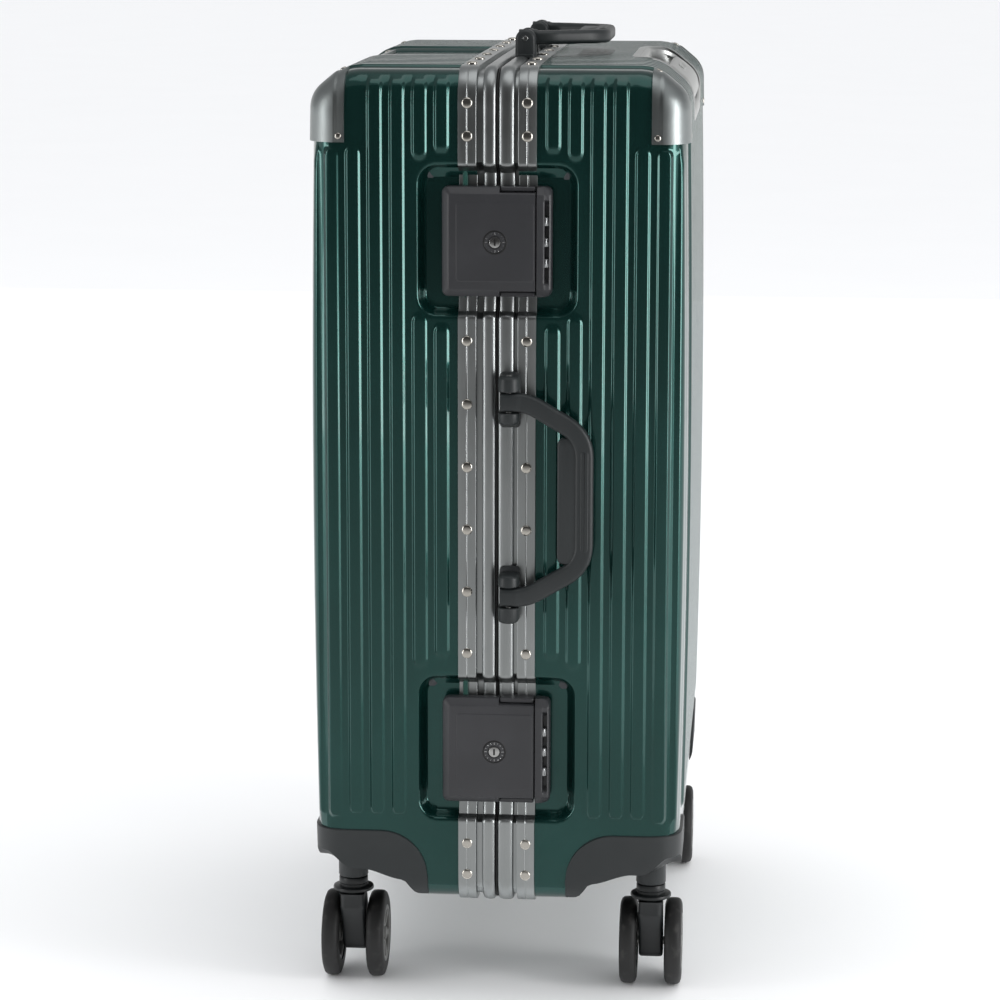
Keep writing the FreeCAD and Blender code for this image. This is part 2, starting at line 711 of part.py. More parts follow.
# ---------------------------------------------------------------- locks
lock_face = lock_floor + lever_top
lever_line = lock_face - lever_barrel
dial_line = lock_floor + strip_top + dial_proud - dial_radius
bolt_low = lock_floor + bolt_floor
dial_counts = [-1, 0, 1]
lock_bases = []
keepers = []
for name, height in lock_heights.items():
    full = (height - lock_half, height + lock_half)
    tray = box((lock_floor, lock_floor + tray_height), (latch_wall, lock_half), full)
    tunnel = box((bolt_low - lever_gap, bolt_low + bolt_depth + lever_gap),
                 (-over, bolt_inset + bolt_length + lever_gap),
                 (height - bolt_half - lever_gap, height + bolt_half + lever_gap))
    strip = box((lock_floor, lock_floor + strip_top), (strip_start, lock_half), full)
    pieces = [cut(tray, tunnel)]
    slots = []
    for count in dial_counts:
        low = height + count * dial_pitch - dial_width / 2 - fit_gap
        y_span = (dial_place - dial_radius - fit_gap, dial_place + dial_radius + fit_gap)
        slots.append(box((dial_line - dial_radius - fit_gap, lock_face + over), y_span,
                         (low, low + dial_width + fit_gap * 2)))
    pieces.append(cut(strip, *slots))
    pieces.append(rod("z", (dial_line, dial_place, height - lock_half / 2 - dial_pitch / 2), dial_axle,
                      lock_half + dial_pitch))
    for direction in (-1, 1):
        ear = minmax(direction, lock_half - ear_height, lock_half)
        ear_span = (height + ear[0], height + ear[1])
        ear_x = (lock_floor, lever_line + lever_barrel - lever_gap)
        pieces.append(box(ear_x, (bolt_inset, strip_start), ear_span))
        reach = minmax(direction, lock_half - ear_height - lever_pin_reach, lock_half - ear_height)
        pieces.append(rod("z", (lever_line, lever_pivot, height + reach[0]), lever_pin_radius,
                          lever_pin_reach))
    lock_bases.append(fuse(*pieces))

    tall = (height - lock_half, height + lock_half)
    short = (height - lock_half + ear_height + lever_gap, height + lock_half - ear_height - lever_gap)
    plate = box((lock_face - lever_plate, lock_face), (-lock_half, lever_end), tall)
    neck = box((lock_face - lever_plate, lock_face), (Size(0), lever_pivot), short)
    barrel = rod("z", (lever_line, lever_pivot, short[0]), lever_barrel, short[1] - short[0])
    skirt_x = (lock_floor + latch_wall, lock_face)
    skirts = [box(skirt_x, (-lock_half, lever_skirt - lock_half), tall)]
    for direction in (-1, 1):
        band = minmax(direction, lock_half - lever_skirt, lock_half)
        skirts.append(box(skirt_x, (-lock_half, -latch_wall), (height + band[0], height + band[1])))
    window = box((lock_floor, lock_floor + keeper_height + keeper_room),
                 (-lock_half - over, -lock_half / 2),
                 (height - keeper_half - keeper_room, height + keeper_half + keeper_room))
    key_bore = rod("x", (lock_floor, -key_place, height), key_radius + bearing_gap, lever_top + over)
    pin_bore = rod("z", (lever_line, lever_pivot, tall[0]), lever_pin_radius + bearing_gap, lock_half * 2)
    part(f"{name}_lock_lever", cut(fuse(plate, neck, barrel, *skirts), window, key_bore, pin_bore))
    part(f"{name}_key_cylinder", rod("x", (lock_face + key_proud - key_length, -key_place, height),
                                     key_radius, key_length))
    for number, count in enumerate(dial_counts, start=1):
        low = height + count * dial_pitch - dial_width / 2
        wheel = rod("z", (dial_line, dial_place, low), dial_radius, dial_width)
        hole = rod("z", (dial_line, dial_place, low - fit_gap), dial_axle + bearing_gap,
                   dial_width + fit_gap * 2)
        part(f"{name}_dial_{number}", cut(wheel, hole))
    part(f"{name}_latch_bolt", box((bolt_low, bolt_low + bolt_depth), (bolt_inset, bolt_inset + bolt_length),
                                   (height - bolt_half, height + bolt_half)))
    keeper = box((lock_floor, lock_floor + keeper_height), (-keeper_end, -keeper_start),
                 (height - keeper_half, height + keeper_half))
    keepers.append(cut(keeper, tunnel))
part("lock_bases", group(*lock_bases))
part("lock_keepers", group(*keepers))


# ---------------------------------------------------------------- caster housings and casters
housing_skin_case = case_solid(housing_proud)
housing_hollow_case = case_solid(-housing_wall)
wheel_line = wheel_radius
for side_name, side in sides.items():
    housings = []
    for edge_name, edge in edges.items():
        pivot_x = edge * caster_x
        pivot_y = side * caster_y
        block = common(housing_skin_case, housing_region(edge, side, Size(0)))
        block = cut(block, wheel_well(edge, side, Size(0)))
        room = common(housing_hollow_case,
                      corner_region(edge, side, housing_inner_x + housing_wall,
                                    housing_inner_y + housing_wall, housing_top + over,
                                    housing_radius, Size(0)))
        room = cut(room, wheel_well(edge, side, housing_wall))
        boss = rod("z", (pivot_x, pivot_y, boss_floor), boss_radius, boss_height)
        bore = rod("z", (pivot_x, pivot_y, boss_floor - over), stem_radius + bearing_gap,
                   boss_height + over - housing_wall)
        housings.append(cut(fuse(cut(block, room), boss), bore))

        plate_bottom = boss_floor - fit_gap - collar_height - plate_height
        collar = rod("z", (pivot_x, pivot_y, plate_bottom + plate_height), collar_radius, collar_height)
        stem = rod("z", (pivot_x, pivot_y, plate_bottom), stem_radius,
                   boss_floor + boss_height - housing_wall - fit_gap - plate_bottom)
        plate = rod("z", (pivot_x, pivot_y, plate_bottom), plate_radius, plate_height)
        axle_x = pivot_x - edge * trail
        web_y = (pivot_y - web_half, pivot_y + web_half)
        web_points = [(pivot_x + plate_radius, plate_bottom), (pivot_x - plate_radius, plate_bottom),
                      (axle_x - web_radius, wheel_line), (axle_x + web_radius, wheel_line)]
        web = polygon_prism("y", web_points, web_y)
        foot = rod("y", (axle_x, web_y[0], wheel_line), web_radius, web_half * 2)
        axle_half = web_half + wheel_gap + wheel_width - fit_gap
        axle = rod("y", (axle_x, pivot_y - axle_half, wheel_line), axle_radius, axle_half * 2)
        caster = f"{side_name}_{edge_name}_caster"
        part(f"{caster}_fork", cut(fuse(collar, stem, plate, web, foot), axle))
        part(f"{caster}_axle", axle)
        for wheel_name, direction in (("a", -1), ("b", 1)):
            near = pivot_y + direction * (web_half + wheel_gap) - (wheel_width if direction < 0 else Size(0))
            tread = rod("y", (axle_x, near + wheel_chamfer, wheel_line), wheel_radius,
                        wheel_width - wheel_chamfer * 2)
            flanks = rod("y", (axle_x, near, wheel_line), wheel_radius - wheel_chamfer, wheel_width)
            hole = rod("y", (axle_x, near - over, wheel_line), axle_radius + bearing_gap,
                       wheel_width + over * 2)
            part(f"{caster}_wheel_{wheel_name}", cut(fuse(tread, flanks), hole))
    part(f"{side_name}_caster_housings", group(*housings))


# ---------------------------------------------------------------- linings
def lining_solid(side, far, extra):
    """The room inside one half, kept clear of recesses and housings, shrunk by an inset."""
    inset = shell_wall + lining_gap + extra
    room = common(case_solid(-inset), half_slab(side, frame_half + lining_gap - extra, far - extra))
    corners = [housing_region(edge, side, lining_gap + extra) for edge in edges.values()]
    return cut(room, *lock_recesses(inset), *corners)


for name, side in sides.items():
    far = half_depth if name == "front" else half_depth - lining_back
    outside = lining_solid(side, far, Size(0))
    inside = lining_solid(side, far, lining_skin)
    part(f"{name}_lining", cut(outside, inside))
divider = case_ring(-divider_inset, (-divider_place - divider_skin, -divider_place))
part("front_divider", cut(divider, *lock_recesses(divider_inset)))


# ---------------------------------------------------------------- build, check and write
document.recompute()
failed = [thing.Label for thing in document.Objects if {"Invalid", "Error"} & set(thing.State)]
if failed:
    raise RuntimeError(f"these objects failed: {failed}")
for sub_part in parts:
    shape = sub_part.Shape
    if shape.isNull() or not shape.isValid() or not shape.Solids or shape.Volume <= 0:
        raise RuntimeError(f"{sub_part.Label} has no valid solid")
os.makedirs("parts", exist_ok=True)
for sub_part in parts:
    sub_part.Shape.exportStep(f"parts/{sub_part.Label}.step")
    limits = sub_part.Shape.BoundBox
    print(f"{sub_part.Label}: {len(sub_part.Shape.Solids)} solid(s), "
          f"{sub_part.Shape.Volume / 1000:.1f} cm3, "
          f"x {limits.XMin:.1f} to {limits.XMax:.1f}, y {limits.YMin:.1f} to {limits.YMax:.1f}, "
          f"z {limits.ZMin:.1f} to {limits.ZMax:.1f}")
print(f"{len(parts)} sub-parts")
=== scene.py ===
import json
import math
import bmesh
import bpy
import numpy as np
from mathutils import Matrix, Vector


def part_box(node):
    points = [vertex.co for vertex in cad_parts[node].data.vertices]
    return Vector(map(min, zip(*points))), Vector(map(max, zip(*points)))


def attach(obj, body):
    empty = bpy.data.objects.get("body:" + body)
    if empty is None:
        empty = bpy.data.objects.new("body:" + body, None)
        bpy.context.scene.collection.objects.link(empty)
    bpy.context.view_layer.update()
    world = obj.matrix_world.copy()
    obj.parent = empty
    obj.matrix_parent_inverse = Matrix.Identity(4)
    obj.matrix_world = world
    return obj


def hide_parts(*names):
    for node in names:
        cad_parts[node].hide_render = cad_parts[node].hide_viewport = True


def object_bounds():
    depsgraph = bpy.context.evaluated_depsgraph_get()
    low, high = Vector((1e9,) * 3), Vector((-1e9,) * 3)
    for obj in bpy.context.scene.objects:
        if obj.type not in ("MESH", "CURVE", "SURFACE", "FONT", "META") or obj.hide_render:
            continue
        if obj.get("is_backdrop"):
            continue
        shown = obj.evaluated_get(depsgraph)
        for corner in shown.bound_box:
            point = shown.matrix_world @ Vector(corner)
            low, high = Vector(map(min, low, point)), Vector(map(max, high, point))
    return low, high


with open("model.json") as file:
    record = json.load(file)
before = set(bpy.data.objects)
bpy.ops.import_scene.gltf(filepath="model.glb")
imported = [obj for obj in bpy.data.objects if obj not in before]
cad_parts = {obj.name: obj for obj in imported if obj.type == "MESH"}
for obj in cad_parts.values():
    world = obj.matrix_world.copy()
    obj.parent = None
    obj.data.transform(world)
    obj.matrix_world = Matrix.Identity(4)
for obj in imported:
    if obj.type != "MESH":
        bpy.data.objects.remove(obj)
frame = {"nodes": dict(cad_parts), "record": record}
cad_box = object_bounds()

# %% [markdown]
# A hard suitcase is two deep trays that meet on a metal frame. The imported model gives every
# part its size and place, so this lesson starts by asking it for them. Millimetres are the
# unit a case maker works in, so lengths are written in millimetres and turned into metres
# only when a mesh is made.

MM = 0.001
FRONT, BACK = -1, 1
HALVES = {"front": FRONT, "back": BACK}


def reach(node):
    """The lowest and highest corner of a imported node, in millimetres."""
    low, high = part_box(node)
    return np.array(low) / MM, np.array(high) / MM


shell_low, shell_high = reach("back_shell")
HALF_WIDTH, SPLIT_SIDE, HALF_DEPTH = shell_high[0], shell_low[1], shell_high[1]
SHELL_FLOOR, SHELL_TOP = shell_low[2], shell_high[2]
MIDDLE = (SHELL_FLOOR + SHELL_TOP) / 2
LOCKS = {name: sum(box[2] for box in reach(f"{name}_lock_lever")) / 2 for name in ("upper", "lower")}
BODY_OF = {node: body for body, nodes in frame["record"]["behaviour"]["bodies"].items() for node in nodes}
print("case", 2 * HALF_WIDTH, "by", 2 * HALF_DEPTH, "from", SHELL_FLOOR, "to", SHELL_TOP, "locks", LOCKS)

# %% [markdown]
# Looking comes before making. A long lens a few metres away sees the lock side almost
# square on, from a little above, so the case keeps its true proportions. The camera is
# built from the direction it looks in, which is easier to reason about than three angles.

# %% Camera
CAMERA_PLACE = Vector((2.522, 0.192, 0.804))
CAMERA_YAW, CAMERA_DROP, CAMERA_ROLL = math.radians(4.71), math.radians(10.55), math.radians(0.09)
LENS = 119.7


def make_camera():
    look = Vector((-math.cos(CAMERA_YAW) * math.cos(CAMERA_DROP),
                   -math.sin(CAMERA_YAW) * math.cos(CAMERA_DROP), -math.sin(CAMERA_DROP)))
    right = look.cross(Vector((0, 0, 1))).normalized()
    up = right.cross(look)
    turned_right = right * math.cos(CAMERA_ROLL) + up * math.sin(CAMERA_ROLL)
    turned_up = up * math.cos(CAMERA_ROLL) - right * math.sin(CAMERA_ROLL)
    camera = bpy.data.objects.new("camera", bpy.data.cameras.new("camera"))
    camera.data.lens = LENS
    camera.data.clip_end = 200
    camera.matrix_world = Matrix.Translation(CAMERA_PLACE) @ Matrix(
        (turned_right, turned_up, -look)).transposed().to_4x4()
    bpy.context.scene.collection.objects.link(camera)
    bpy.context.scene.camera = camera
    return camera


print("camera at", tuple(make_camera().location))

# %% [markdown]
# Gloss paint shows its surroundings, so the lights are soft cards. A tall narrow card at
# each side draws a thin bright line down every rib, and one overhead rounds the top edge.
# The room itself is bright for the floor but dim in reflections, which keeps the green deep.

# %% Floor, room light and soft cards
def make_floor(radius=40.0):
    mesh = bpy.data.meshes.new("floor")
    turns = [2 * math.pi * k / 96 for k in range(96)]
    mesh.from_pydata([(radius * math.cos(a), radius * math.sin(a), 0) for a in turns], [], [list(range(96))])
    floor = bpy.data.objects.new("floor", mesh)
    bpy.context.scene.collection.objects.link(floor)
    floor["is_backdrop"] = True
    return floor


def card(name, place, aim, width, height, power, colour=(1, 1, 1)):
    """A rectangular area light that faces a point."""
    lamp = bpy.data.lights.new(name, "AREA")
    lamp.shape = "RECTANGLE"
    lamp.size, lamp.size_y = width, height
    lamp.energy, lamp.color = power, colour
    light = bpy.data.objects.new(name, lamp)
    light.location = place
    light.rotation_euler = (Vector(aim) - Vector(place)).to_track_quat("-Z", "Y").to_euler()
    bpy.context.scene.collection.objects.link(light)
    return light


def light_the_room(brightness=1.2, in_reflections=0.28):
    world = bpy.data.worlds.new("room")
    bpy.context.scene.world = world
    world.use_nodes = True
    tree = world.node_tree
    background = tree.nodes["Background"]
    background.inputs["Color"].default_value = (0.97, 0.98, 1.0, 1)
    path = tree.nodes.new("ShaderNodeLightPath")
    strength = tree.nodes.new("ShaderNodeMapRange")
    strength.inputs["To Min"].default_value = brightness
    strength.inputs["To Max"].default_value = in_reflections
    tree.links.new(path.outputs["Is Glossy Ray"], strength.inputs["Value"])
    tree.links.new(strength.outputs["Result"], background.inputs["Strength"])


floor = make_floor()
light_the_room()
AIM = (0, 0, 0.4)
card("left_card", (1.3, -2.4, 0.7), AIM, 0.45, 1.9, 14)
card("right_card", (1.0, 2.2, 0.7), AIM, 0.6, 2.0, 32)
card("overhead_card", (0.2, 0.3, 2.6), (0, 0, 0.3), 2.0, 2.0, 10)
bpy.context.scene.view_settings.view_transform = "Standard"

# %% [markdown]
# The flat faces of the lock side mirror the floor before them, and higher up the dark of
# the studio. A backing stands there with an apron on the floor, pale below and dark above.
# Another behind the case is evenly pale, and the flat top mirrors it. Both are seen only in
# reflections, as flags in a studio are kept out of the frame.

# %% Backings seen in reflections
def make_backing(name, distance, near, wide, tall, glow_low, glow_high, fade_to):
    """A card that stands at a distance, with an apron on the floor from its foot to near."""
    mesh = bpy.data.meshes.new(name)
    apron = [(near, -wide, 0.004), (near, wide, 0.004), (distance, wide, 0.005), (distance, -wide, 0.005)]
    upper = [(distance, wide, tall), (distance, -wide, tall)]
    mesh.from_pydata(apron + upper, [], [(0, 1, 2, 3), (3, 2, 4, 5)])
    backing = bpy.data.objects.new(name, mesh)
    bpy.context.scene.collection.objects.link(backing)
    backing.visible_camera = backing.visible_diffuse = backing.visible_shadow = False
    backing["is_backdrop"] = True
    material = bpy.data.materials.new(f"{name}_fade")
    material.use_nodes = True
    tree = material.node_tree
    tree.nodes.remove(tree.nodes["Principled BSDF"])
    glow = tree.nodes.new("ShaderNodeEmission")
    place = tree.nodes.new("ShaderNodeTexCoord")
    split = tree.nodes.new("ShaderNodeSeparateXYZ")
    fade = tree.nodes.new("ShaderNodeMapRange")
    fade.interpolation_type = "SMOOTHSTEP"
    fade.inputs["From Max"].default_value = fade_to
    fade.inputs["To Min"].default_value = glow_low
    fade.inputs["To Max"].default_value = glow_high
    tree.links.new(place.outputs["Object"], split.inputs["Vector"])
    tree.links.new(split.outputs["Z"], fade.inputs["Value"])
    tree.links.new(fade.outputs["Result"], glow.inputs["Strength"])
    tree.links.new(glow.outputs["Emission"], tree.nodes["Material Output"].inputs["Surface"])
    mesh.materials.append(material)


make_backing("front_backing", 0.8, 0.26, 0.75, 1.4, 0.62, 0.05, 0.6)
make_backing("rear_backing", -4.0, -3.9, 5.0, 2.5, 0.95, 0.5, 2.5)

# %% [markdown]
# Every finish is a node tree. Written as arithmetic, a pattern reads the way it is thought
# of: noise times a strength, plus a base. One small class wraps a socket so that +, - and *
# add Math nodes, and one method makes any other node.

# %% Shader arithmetic
class Reading:
    """A socket's value, with arithmetic that adds Math nodes."""

    def __init__(self, finish, socket):
        self.finish, self.socket = finish, socket

    def math(self, operation, *others):
        inputs = {index: item for index, item in enumerate((self, *others))}
        return self.finish.node("ShaderNodeMath", {"operation": operation}, inputs)

    def __add__(self, other):
        return self.math("ADD", other)

    __radd__ = __add__

    def __mul__(self, other):
        return self.math("MULTIPLY", other)

    __rmul__ = __mul__

    def __sub__(self, other):
        return self.math("SUBTRACT", other)

    def __rsub__(self, other):
        return self * -1 + other

    def between(self, low, high):
        """0 below low and 1 above high, with a smooth step."""
        return self.finish.node("ShaderNodeMapRange", {"interpolation_type": "SMOOTHSTEP"},
                                {"Value": self, "From Min": low, "From Max": high})


class Finish:
    """A material whose nodes are made one call at a time."""

    def __init__(self, name, **constants):
        self.material = bpy.data.materials.new(name)
        self.material.use_nodes = True
        self.tree = self.material.node_tree
        self.shader = self.tree.nodes["Principled BSDF"]
        self.shader.inputs["Specular IOR Level"].default_value = 0.5
        for socket, value in constants.items():
            self.shader.inputs[socket.replace("_", " ")].default_value = value

    def node(self, kind, settings=None, inputs=None, output=0):
        made = self.tree.nodes.new(kind)
        for key, value in (settings or {}).items():
            if key == "stops":
                ramp = made.color_ramp
                while len(ramp.elements) < len(value):
                    ramp.elements.new(0.5)
                for element, (place, colour) in zip(ramp.elements, value):
                    element.position, element.color = place, colour
            else:
                setattr(made, key, value)
        for key, value in (inputs or {}).items():
            if isinstance(value, Reading):
                self.tree.links.new(value.socket, made.inputs[key])
            else:
                made.inputs[key].default_value = value
        return Reading(self, made.outputs[output])

    def place(self, stretch=(1, 1, 1)):
        """Where a point is in the case, in metres, stretched along the axes."""
        here = self.node("ShaderNodeTexCoord", output=3)
        return self.node("ShaderNodeVectorMath", {"operation": "MULTIPLY"}, {0: here, 1: stretch})

    def noise(self, scale, detail=3.0, stretch=(1, 1, 1)):
        return self.node("ShaderNodeTexNoise", None,
                         {"Vector": self.place(stretch), "Scale": scale, "Detail": detail})

    def blend(self, amount, first, second):
        """Two colours mixed by a reading."""
        return self.node("ShaderNodeMix", {"data_type": "RGBA"},
                         {"Factor": amount, 6: first, 7: second}, output=2)

    def relief(self, height, depth, strength=1.0):
        self.feed("Normal", self.node("ShaderNodeBump", None,
                                      {"Height": height, "Distance": depth, "Strength": strength}))

    def feed(self, socket, reading):
        self.tree.links.new(reading.socket, self.shader.inputs[socket])


# %% [markdown]
# The shell is moulded plastic sheet with a metallic green under a clear gloss. Looked at
# closely such a sheet is never even: the green drifts a little, rubbed spots are duller, and
# the gloss has a faint ripple from the mould. Each of those is one noise at its own scale.

# %% Shell green
def colour(red, green, blue):
    return (red, green, blue, 1)


def make_shell_green():
    paint = Finish("shell_green", Metallic=0.8, Coat_Roughness=0.04, Coat_IOR=1.5)
    drift = paint.noise(9).between(0.35, 0.7)
    flake = paint.noise(2600, 1).between(0.4, 0.75)
    base = paint.blend(drift, colour(0.007, 0.048, 0.041), colour(0.010, 0.060, 0.052))
    paint.feed("Base Color", paint.blend(flake * 0.25, base, colour(0.03, 0.12, 0.105)))
    rubbed = paint.noise(38, 5).between(0.52, 0.8)
    paint.feed("Roughness", 0.19 + 0.03 * flake + 0.05 * rubbed)
    paint.feed("Coat Weight", 0.6 - 0.12 * rubbed)
    ripple = paint.noise(55, 2)
    paint.relief(ripple + 0.05 * flake, 0.00025, 0.3)
    return paint.material


SHELL_GREEN = make_shell_green()
print("finish", SHELL_GREEN.name)

# %% [markdown]
# Frames and corner guards are anodised aluminium in a dark grey. The die leaves fine lines
# along the bar, so the noise is stretched hard along the height, and the anodising makes the
# reflection soft. Guards are pressed and blasted instead, so theirs has no direction.

# %% Metals of the case
def make_metal(name, dark, light, roughness, grain=900, stretch=(1, 1, 1), depth=0.00003, wear=0.08):
    """A metal whose tone and gloss vary along a stretched grain."""
    metal = Finish(name, Metallic=1.0)
    lines = metal.noise(grain, 2, stretch)
    cloud = metal.noise(14, 3).between(0.3, 0.75)
    metal.feed("Base Color", metal.blend(lines * 0.5 + cloud * 0.5, dark, light))
    metal.feed("Roughness", roughness - wear / 2 + wear * cloud + 0.06 * lines)
    metal.relief(lines, depth, 0.5)
    return metal.material


ALONG_HEIGHT = (1, 1, 0.02)
FRAME_GREY = make_metal("frame_gunmetal", colour(0.36, 0.38, 0.38), colour(0.48, 0.5, 0.5), 0.33,
                        1500, ALONG_HEIGHT)
GUARD_GREY = make_metal("guard_satin", colour(0.31, 0.335, 0.335), colour(0.39, 0.415, 0.41), 0.4, 2400)
NICKEL = make_metal("rivet_nickel", colour(0.58, 0.55, 0.5), colour(0.72, 0.69, 0.63), 0.16, 700, wear=0.05)
STEEL = make_metal("pressed_steel", colour(0.3, 0.3, 0.3), colour(0.42, 0.42, 0.41), 0.34, 1100)
BRIGHT = make_metal("bright_metal", colour(0.5, 0.5, 0.5), colour(0.66, 0.66, 0.65), 0.2, 1300)
TUBE_GREY = make_metal("tube_anodised", colour(0.42, 0.43, 0.44), colour(0.55, 0.56, 0.57), 0.3,
                       1700, ALONG_HEIGHT)
SILVER = make_metal("satin_silver", colour(0.5, 0.51, 0.5), colour(0.62, 0.63, 0.62), 0.34, 2600)
print("metals", FRAME_GREY.name, GUARD_GREY.name, NICKEL.name, STEEL.name, BRIGHT.name, TUBE_GREY.name)

# %% [markdown]
# Handles, locks and caster housings are glass-filled nylon with a spark-eroded grain, which
# reads as a dense fine stipple. Tyres are softer and duller, and pick up pale dust.

# %% Plastics and rubber
def make_plastic(name, dark, light, roughness, grain=1900, depth=0.00006, dust=0.0):
    plastic = Finish(name)
    stipple = plastic.noise(grain, 2)
    cloud = plastic.noise(24, 4).between(0.4, 0.8)
    tone = plastic.blend(cloud * 0.7 + stipple * 0.3, dark, light)
    if dust:
        settled = plastic.noise(130, 6).between(0.55, 0.8)
        tone = plastic.blend(settled * dust, tone, colour(0.2, 0.19, 0.17))
    plastic.feed("Base Color", tone)
    plastic.feed("Roughness", roughness + 0.08 * cloud - 0.05 * stipple)
    plastic.relief(stipple, depth, 0.6)
    return plastic.material


CHARCOAL = make_plastic("charcoal_nylon", colour(0.013, 0.0165, 0.0175), colour(0.0195, 0.0225, 0.0235), 0.46)
LOCK_CHARCOAL = make_plastic("lock_charcoal", colour(0.023, 0.0235, 0.026), colour(0.03, 0.0305, 0.034), 0.4)
FORK_BLACK = make_plastic("fork_black", colour(0.007, 0.009, 0.0095), colour(0.012, 0.014, 0.015), 0.42)
TYRE_BLACK = make_plastic("tyre_black", colour(0.006, 0.006, 0.006), colour(0.011, 0.011, 0.011), 0.6,
                          1200, 0.0001, dust=0.12)
SEAL_BLACK = make_plastic("seal_rubber", colour(0.01, 0.01, 0.01), colour(0.018, 0.018, 0.018), 0.5)
HUB_GREY = make_plastic("hub_grey", colour(0.12, 0.12, 0.115), colour(0.16, 0.16, 0.155), 0.38)
# Near black: the key plug's own dark body, and painted shade for the keyhole and for the hollows between a
# wheel's spokes.
BLACK_AND_PAINTED_SHADE = make_plastic("black_and_painted_shade", colour(0.004, 0.004, 0.004), colour(0.008, 0.008, 0.008), 0.6)
print("plastics", CHARCOAL.name, FORK_BLACK.name, TYRE_BLACK.name, SEAL_BLACK.name)


def make_floor_finish():
    pale = Finish("floor_pale", Roughness=0.75)
    speck = pale.noise(3, 4)
    pale.feed("Base Color", pale.blend(speck, colour(0.86, 0.86, 0.86), colour(0.88, 0.88, 0.88)))
    return pale.material


floor.data.materials.append(make_floor_finish())

# %% [markdown]
# Most pieces here are pressed, turned or drawn, and each way of making has its own mesh
# tool. A stack of outlines makes plates and buttons, a turned profile makes rivets and
# wheels, and an outline carried along a path makes bars. One class collects the points and
# faces and makes the object at the end, with edges sharper than a set angle kept crisp.

# %% Mesh tools
class Form:
    """Points and faces of one piece, in millimetres."""

    def __init__(self):
        self.points, self.faces, self.finishes = [], [], []

    def add(self, points, faces, finish=0):
        start = len(self.points)
        self.points += [tuple(point) for point in points]
        self.faces += [[start + index for index in face] for face in faces]
        self.finishes += [finish] * len(faces)

    def stack(self, rings, finish=0, caps=(True, True), closed=False):
        """Joins rings with the same number of points, and caps both ends."""
        count, levels = len(rings[0]), len(rings)
        faces = []
        for level in range(levels if closed else levels - 1):
            above = (level + 1) % levels
            low, high = level * count, above * count
            for k in range(count):
                after = (k + 1) % count
                faces.append([low + k, low + after, high + after, high + k])
        if caps[0] and not closed:
            faces.append(list(range(count))[::-1])
        if caps[1] and not closed:
            faces.append([(levels - 1) * count + k for k in range(count)])
        self.add([point for ring in rings for point in ring], faces, finish)

    def turn(self, profile, centre, axis, steps=40, finish=0, closed=False):
        """Turns (radius, distance along the axis) pairs about an axis."""
        axis = Vector(axis).normalized()
        across = axis.orthogonal().normalized()
        other = axis.cross(across)
        rings = []
        for radius, along in profile:
            rings.append([Vector(centre) + axis * along
                          + (across * math.cos(2 * math.pi * k / steps)
                             + other * math.sin(2 * math.pi * k / steps)) * max(radius, 0.01)
                          for k in range(steps)])
        self.stack(rings, finish, (not closed, not closed), closed)

    def piece(self, name, materials, crisp=32, weld=0.002):
        mesh = bpy.data.meshes.new(name)
        mesh.from_pydata((np.array(self.points) * MM).tolist(), [], self.faces)
        mesh.polygons.foreach_set("material_index", self.finishes)
        work = bmesh.new()
        work.from_mesh(mesh)
        bmesh.ops.remove_doubles(work, verts=work.verts, dist=weld * MM)
        bmesh.ops.recalc_face_normals(work, faces=work.faces)
        work.to_mesh(mesh)
        work.free()
        mesh.polygons.foreach_set("use_smooth", [True] * len(mesh.polygons))
        mesh.set_sharp_from_angle(angle=math.radians(crisp))
        for material in materials:
            mesh.materials.append(material)
        thing = bpy.data.objects.new(name, mesh)
        bpy.context.scene.collection.objects.link(thing)
        return thing


def stands_for(thing, *nodes):
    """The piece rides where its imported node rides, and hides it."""
    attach(thing, BODY_OF[nodes[0]])
    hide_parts(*nodes)
    print(thing.name, "for", nodes, len(thing.data.polygons), "faces")
    return thing


def rounded(width, height, radius, steps=6):
    """A rounded rectangle about the origin, anticlockwise."""
    points = []
    for quarter, (u, v) in enumerate(((1, 1), (-1, 1), (-1, -1), (1, -1))):
        for k in range(steps + 1):
            angle = math.pi / 2 * (quarter + k / steps)
            points.append((u * (width / 2 - radius) + radius * math.cos(angle),
                           v * (height / 2 - radius) + radius * math.sin(angle)))
    return points


def islands(node):
    """The boxes of a node's separate solids, in millimetres, sorted."""
    mesh = frame["nodes"][node].data
    work = bmesh.new()
    work.from_mesh(mesh)
    bmesh.ops.remove_doubles(work, verts=work.verts, dist=1e-5)
    work.verts.ensure_lookup_table()
    seen, boxes = set(), []
    for start in work.verts:
        if start.index in seen:
            continue
        waiting, found = [start], []
        seen.add(start.index)
        while waiting:
            vertex = waiting.pop()
            found.append(tuple(vertex.co))
            for edge in vertex.link_edges:
                other = edge.other_vert(vertex)
                if other.index not in seen:
                    seen.add(other.index)
                    waiting.append(other)
        points = np.array(found) / MM
        boxes.append((points.min(0), points.max(0)))
    work.free()
    return sorted(boxes, key=lambda box: tuple(np.round(box[0], 1)))


# %% [markdown]
# The case's outside is a box whose edges are rounded, whose ends are bevelled and whose
# broad faces swell a little. It is described by one number for any point: how far outside
# the case it lies. Planes give such a distance, and a smooth maximum of planes rounds the
# edges where they meet. Shell, guards, housings and frames are all read from it, so they
# fit each other exactly.

# %% The form of the case
EDGE_SOFT, BEVEL_SOFT = 26.0, 7.0
BEVEL_DEPTH, BEVEL_HEIGHT = 24.0, 20.0
SWELL, CROWN = 4.0, 1.0
HALF_HEIGHT = (SHELL_TOP - SHELL_FLOOR) / 2


def soft_max(first, second, soft):
    share = np.clip(0.5 + 0.5 * (first - second) / soft, 0, 1)
    return second + (first - second) * share + soft * share * (1 - share)


